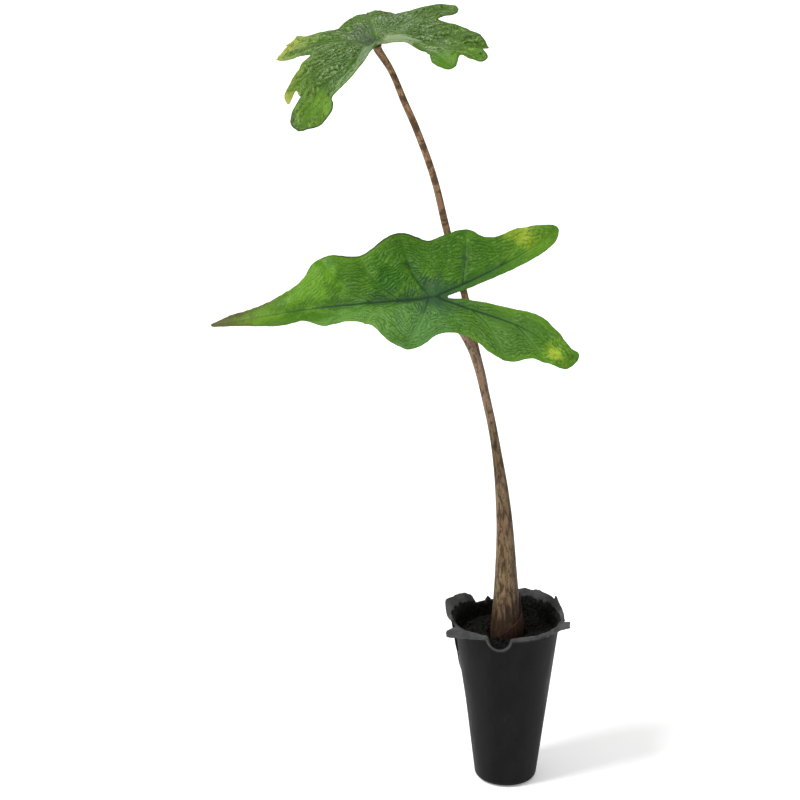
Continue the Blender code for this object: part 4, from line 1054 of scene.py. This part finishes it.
def make_scale_leaf():
    """The dried scale leaf, a thin sleeve round the plant's foot. Its torn top slants up to the right."""
    upper, sheath = upper_stalk_path(), spline_of(SHEATH)
    turns = turns_round(SCALE_LEAF_COLUMNS)
    ring = directions(turns)
    teeth = 0.6 * np.sin(3 * turns) + 0.5 * ripple(ring * 8.0, 2.0, shift=2.0) - 0.3
    off = (turns - 0.1 + math.pi) % math.tau - math.pi
    tongue = SCALE_LEAF_TONGUE * np.exp(-(off / 0.42) ** 2)
    tops = SCALE_LEAF_TOP + SCALE_LEAF_SLANT * np.cos(turns - 0.2) + teeth + tongue
    facing = np.cos((turns + math.pi / 2) / 2) ** 4
    verts, skin = [], []
    for row in range(SCALE_LEAF_ROWS + 1):
        z = tops + (SCALE_LEAF_FOOT - tops) * row / SCALE_LEAF_ROWS
        centre = upper(z)
        outer, front, _ = sheath(z).T
        radius = outer + (centre[:, 2] + GAP + front - outer) * facing + 1.2 * GAP
        radius = radius + 0.05 * np.sin(23 * turns) * (1 - row / SCALE_LEAF_ROWS)
        verts.append(raised(centre[:, :2] + radius[:, None] * ring, z))
        skin.append(raised(9 * ring, z))
    faces = grid_faces(SCALE_LEAF_ROWS + 1, SCALE_LEAF_COLUMNS)
    mesh = mesh_of("basal_sheath_fine", verts, faces, skin=skin)
    thicken(add_piece(mesh, "basal_sheath", [dry_scale()]), SCALE_LEAF_WALL, 1.0)


# Potting mix


def wall_radius(z):
    """Outer radius of the pot's straight wall at a height."""
    return FOOT_RADIUS + (RIM_RADIUS - FOOT_RADIUS) * (z - FOOT_ROUND) / (POT_HEIGHT - FOOT_ROUND)


def mix_surface(u, v):
    """Height of the mix above its level: low crumbly waves."""
    wave = np.sin(0.61 * u + 0.9) * np.sin(0.53 * v + 0.4) + 0.6 * np.sin(0.97 * u - 0.71 * v + 2.0)
    grain = 0.5 * np.sin(1.9 * u + 1.3 * v) * np.sin(1.7 * v - 0.8 * u + 1.0)
    return MIX_RELIEF * 0.6 * (wave + grain)


def mix_height(flat, share):
    """Height of the mix's crumbly top at points a share of the way from its hole to the wall."""
    deep = ripple(flat, 2.2, octaves=4, shift=4.0) * 0.75
    relief = mix_surface(flat[:, 0], flat[:, 1]) + deep
    return MIX_LEVEL + relief * np.clip(4 * (1 - share), 0.0, 1.0)


def crumb(rng, place, size, flatness):
    """A broken lump: an icosphere with its points pushed in and out."""
    bm = bmesh.new()
    bmesh.ops.create_icosphere(bm, subdivisions=2 if size > 1.2 else 1, radius=1.0)
    verts = np.array([v.co for v in bm.verts])
    faces = [tuple(v.index for v in f.verts) for f in bm.faces]
    bm.free()
    verts *= 1 + 0.3 * ripple(verts, 1.1, shift=rng.uniform(0, 90))[:, None]
    verts *= np.array([1.0, rng.uniform(0.5, 0.8), flatness])
    heading = Matrix.Rotation(rng.uniform(0, math.tau), 3, "Z")
    tilt = Matrix.Rotation(rng.uniform(-0.7, 0.7), 3, "Y")
    return verts * size / 2 @ np.array(heading @ tilt).T + place, faces


def make_potting_mix():
    clear = POT_WALL + GAP
    top_radius = wall_radius(MIX_LEVEL) - clear
    ring = directions(turns_round(MIX_COLUMNS))
    hole = np.array([HOLE_CENTRE, 0.0])
    mouth = hole + (HOLE_RADIUS - HOLE_CLEARANCE) * ring
    rows = [raised(hole + POINT_RADIUS * ring, HOLE_FLOOR), raised(mouth, HOLE_FLOOR)]
    for share in np.linspace(0, 1, MIX_ROWS):
        flat = mouth * (1 - share) + top_radius * ring * share
        rows.append(raised(flat, mix_height(flat, share)))
    rows.append(raised((wall_radius(FOOT_ROUND) - clear) * ring, FOOT_ROUND + clear))
    rows.append(raised((FOOT_RADIUS - FOOT_ROUND) * ring, clear))
    rows.append(raised(POINT_RADIUS * ring, clear))
    verts = [np.vstack(rows)]
    faces = [*grid_faces(len(rows), MIX_COLUMNS)]
    count = len(verts[0])
    tone = [np.zeros(count)]
    rng = np.random.default_rng(CRUMB_SEED)
    for _ in range(CRUMBS):
        turn = rng.uniform(0, math.tau)
        out = math.sqrt(rng.uniform(CRUMB_RING[0]**2, CRUMB_RING[1]**2))
        x, y = out * math.cos(turn), out * math.sin(turn)
        size = min(rng.choice(CRUMB_SIZES[0], p=CRUMB_SIZES[1]), 2 * (CRUMB_LIMIT - out))
        share = (out - HOLE_RADIUS) / (top_radius - HOLE_RADIUS)
        z = mix_height(np.array([[x, y]]), share)[0] + 0.1 * size - 0.06
        place = np.array([x, y, z])
        lump, sides = crumb(rng, place, size * rng.uniform(0.85, 1.15), rng.uniform(0.3, 0.7))
        verts.append(lump)
        faces += [tuple(i + count for i in side) for side in sides]
        count += len(lump)
        tone.append(np.full(len(lump), rng.choice(CRUMB_TONES[0], p=CRUMB_TONES[1])))
    mesh = mesh_of("potting_mix_fine", verts, faces, tone=tone)
    add_piece(mesh, "potting_mix", [bark_mix()])


# Pot


def bulge(angle, z):
    """How far the wall stands out at an angle in degrees and a height."""
    off = np.abs((angle - BULGE_ANGLE + 180) % 360 - 180) / BULGE_HALF_WIDTH
    return BULGE * ease(1 - off) * ease((z - BULGE_FOOT) / (POT_HEIGHT - BULGE_FOOT))


def rim_path():
    """Angle and height of the rim's edge going round, down into the notch and up again."""
    lowest = POT_HEIGHT - NOTCH_DEPTH + NOTCH_RADIUS
    start = math.asin((lowest - POT_HEIGHT) / NOTCH_RADIUS)
    arc = np.linspace(start, math.pi - start, NOTCH_COLUMNS)
    across = -NOTCH_RADIUS * np.cos(arc)
    angles = NOTCH_ANGLE + np.degrees(np.arcsin(across / RIM_RADIUS))
    heights = lowest - NOTCH_RADIUS * np.sin(arc)
    rest = np.linspace(angles[-1], angles[0] + 360, RIM_COLUMNS)[1:-1]
    return np.concatenate([angles, rest]), np.concatenate([heights, np.full(len(rest), POT_HEIGHT)])


def make_pot():
    angles, tops = rim_path()
    columns = len(angles)
    even = angles[0] + np.arange(columns) * 360 / columns
    at, *values = np.array([(*row, 0)[:4] for row in FLANGE], float).T
    reach, rise, curl = [np.interp(angles % 360, at, value) for value in values]
    ring = directions(np.radians(angles))
    torn = ease((reach - 0.7) / 1.2)
    # Painted highlight: the flange's top is paler, strongly along the front and weakly elsewhere.
    front = ease((-ring[:, 1] - 0.05) / 0.3)
    lip = 0.9 * front + 0.3 * (1 - front)
    jag = ripple(ring * RIM_RADIUS, 2.4, shift=7.0, octaves=3)
    rows, tear_pallor_and_rim_highlight, soiled = [], [], []
    for share in np.linspace(1, 0, FLANGE_ROWS):
        radius = RIM_RADIUS + share * reach * (1 + 0.07 * torn * jag * share)
        z = tops + share * (1.6 - 0.6 * share) * rise - curl * ease((share - 0.35) / 0.65)
        crumple = ripple(ring * (RIM_RADIUS + 6 * share), 4.0, shift=1.0, octaves=3)
        z = z + 0.55 * torn * crumple * ease(share * 1.6)
        radius = radius + bulge(angles % 360, tops)
        rows.append(raised(radius[:, None] * ring, z))
        tear_pallor_and_rim_highlight.append(np.maximum(lip, torn * ease(share * 2.5)))
        smeared = np.maximum(1 - ease(share / 0.75), ease(1 - share * 9))
        # The front of the flange is kept free of smear, so that its painted highlight shows.
        soiled.append(smeared * (1 - front * ease(share * 9)))
    for t in np.linspace(0, 1, WALL_ROWS)[1:] ** 1.25:
        z = tops + t * (FOOT_ROUND - tops)
        angle = angles + (even - angles) * ease(t / 0.4)
        radius = wall_radius(z) + bulge(angle % 360, z)
        rows.append(raised(radius[:, None] * directions(np.radians(angle)), z))
        # Painted highlight: a paler band along the wall's top edge.
        tear_pallor_and_rim_highlight.append(0.5 * (1 - ease((tops - z) / 1.3)))
    ring = directions(np.radians(even))
    bends = [math.radians(90 / FOOT_STEPS * k) for k in range(1, FOOT_STEPS + 1)]
    foot = [(FOOT_RADIUS - FOOT_ROUND * (1 - math.cos(b)), FOOT_ROUND * (1 - math.sin(b))) for b in bends]
    for out, z in foot + [(out, 0.0) for out in UNDERSIDE_RINGS]:
        rows.append(raised(out * ring, z))
        tear_pallor_and_rim_highlight.append(np.zeros(columns))
    soiled += [np.ones(columns)] * (len(rows) - len(soiled))
    mesh = mesh_of("pot_fine", rows, grid_faces(len(rows), columns), torn=tear_pallor_and_rim_highlight, soiled=soiled)
    outside = pot_plastic("pot_outside", False)
    piece = add_piece(mesh, "pot", [outside, pot_plastic("pot_inside", True)])
    make_sliver(outside)
    thicken(piece, POT_WALL, -1.0, inner=1)
    for k in range(DRAINS):
        cut_drain(piece, math.radians(45 + 360 * k / DRAINS))
    piece.data.set_sharp_from_angle(angle=math.radians(SHARP_EDGE))


def cut_drain(piece, turn):
    """Cut a round drain hole through the pot's bottom."""
    place = Vector((DRAIN_CIRCLE * math.cos(turn), DRAIN_CIRCLE * math.sin(turn), 0.5)) * MM
    bm = bmesh.new()
    bmesh.ops.create_cone(
        bm, cap_ends=True, segments=DRAIN_SIDES, radius1=DRAIN_RADIUS * MM, radius2=DRAIN_RADIUS * MM,
        depth=DRAIN_CUT * MM, matrix=Matrix.Translation(place),
    )
    mesh = bpy.data.meshes.new("drain")
    bm.to_mesh(mesh)
    bm.free()
    tool = add_object("drain", mesh)
    tool.hide_render = True
    hole = piece.modifiers.new("drain", "BOOLEAN")
    hole.operation = "DIFFERENCE"
    hole.solver = "EXACT"
    hole.object = tool
    bake_modifiers(piece)
    bpy.data.objects.remove(tool, do_unlink=True)


def make_sliver(made):
    """A torn sliver of the tray that hangs down the pot's left side from its rim, thinning to a point."""
    verts = []
    for k in range(SLIVER_STEPS + 1):
        share = k / SLIVER_STEPS
        z = POT_HEIGHT + 0.6 - SLIVER_LENGTH * share
        out = wall_radius(z) + bulge(SLIVER_ANGLE, z) + 0.03
        turn = math.radians(SLIVER_ANGLE + 1.5 * math.sin(5 * share))
        wide = SLIVER_HALF_WIDTH * (1 - share) ** 0.6 + 0.15
        thick = SLIVER_THICK * (1 - share) ** 0.5 * (1 + 0.15 * math.sin(17 * share)) + 0.1
        aim = np.array([math.cos(turn), math.sin(turn)])
        side = np.array([-aim[1], aim[0]])
        for a, b in ((0, -wide), (thick, -wide * 0.7), (thick, wide * 0.7), (0, wide)):
            verts.append((*((out + a) * aim + b * side), z))
    ends = [(0, 1, 2, 3), [4 * SLIVER_STEPS + i for i in (3, 2, 1, 0)]]
    faces = [*grid_faces(SLIVER_STEPS + 1, 4), *ends]
    mesh = mesh_of("pot_sliver", verts, faces, torn=np.zeros(len(verts)))
    face_outwards(mesh)
    add_piece(mesh, "pot", [made])


def bake_modifiers(piece):
    """Carry out a piece's modifiers on its own mesh."""
    bpy.context.view_layer.update()
    ready = piece.evaluated_get(bpy.context.evaluated_depsgraph_get())
    mesh = bpy.data.meshes.new_from_object(ready)
    piece.modifiers.clear()
    piece.data = mesh


# Stage


def make_sky():
    """A white studio that is bright overhead and dimmer at its sides."""
    world = bpy.data.worlds.new("studio")
    world.use_nodes = True
    tree = world.node_tree
    where = tree.nodes.new("ShaderNodeTexCoord")
    split = tree.nodes.new("ShaderNodeSeparateXYZ")
    level = tree.nodes.new("ShaderNodeMapRange")
    level.inputs["To Min"].default_value = SKY_SIDE
    level.inputs["To Max"].default_value = SKY_TOP
    sky = tree.nodes["Background"]
    sky.inputs["Color"].default_value = (1.0, 1.0, 1.0, 1.0)
    tree.links.new(where.outputs["Generated"], split.inputs[0])
    tree.links.new(split.outputs["Z"], level.inputs["Value"])
    tree.links.new(level.outputs[0], sky.inputs["Strength"])
    bpy.context.scene.world = world


def make_stage():
    corners = [(x * FLOOR_HALF, y * FLOOR_HALF, -FLOOR_SINK) for x, y in ((-1, -1), (1, -1), (1, 1), (-1, 1))]
    mesh = bpy.data.meshes.new("floor")
    mesh.from_pydata(corners, [], [(0, 1, 2, 3)])
    mesh.materials.append(floor_card())
    floor = add_object("floor", mesh)
    make_sky()
    sun = bpy.data.lights.new("key", "SUN")
    sun.energy = SUN_POWER
    sun.angle = math.radians(SUN_WIDTH)
    key = add_object("key", sun)
    key.rotation_mode = "QUATERNION"
    key.rotation_quaternion = Vector(SUN_FROM).to_track_quat("Z", "Y")
    lens = bpy.data.cameras.new("camera")
    lens.lens = CAMERA_LENS
    lens.sensor_width = CAMERA_SENSOR
    camera = add_object("camera", lens)
    camera.location = CAMERA_PLACE
    camera.rotation_euler = (math.radians(90 - CAMERA_TILT), 0.0, 0.0)
    bpy.context.scene.camera = camera
    bpy.context.scene.view_settings.view_transform = "Standard"


make_stage()
make_pot()
make_potting_mix()
make_scale_leaf()
make_lower_stalk()
make_upper_stalk()
faces = [leaf_face("lower_leaf_face", LOWER_MARKS, **LOWER_LOOK), leaf_back("lower_leaf_back")]
make_blade(
    "lower_leaf_blade", LOWER_OUTLINE, LOWER_RIBS, LOWER_FOLDS, LOWER_CALMS, LOWER_SEAT, LOWER_POSE,
    LOWER_FORM, LOWER_SWELLS, faces, LOWER_TEXTURE,
)
faces = [leaf_face("upper_leaf_face", UPPER_MARKS, **UPPER_LOOK), leaf_back("upper_leaf_back")]
make_blade(
    "upper_leaf_blade", UPPER_OUTLINE, UPPER_RIBS, UPPER_FOLDS, UPPER_CALMS, UPPER_SEAT, UPPER_POSE,
    UPPER_FORM, UPPER_SWELLS, faces, UPPER_TEXTURE,
)
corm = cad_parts["corm"]
for slot in corm.material_slots:
    slot.material = corm_skin()
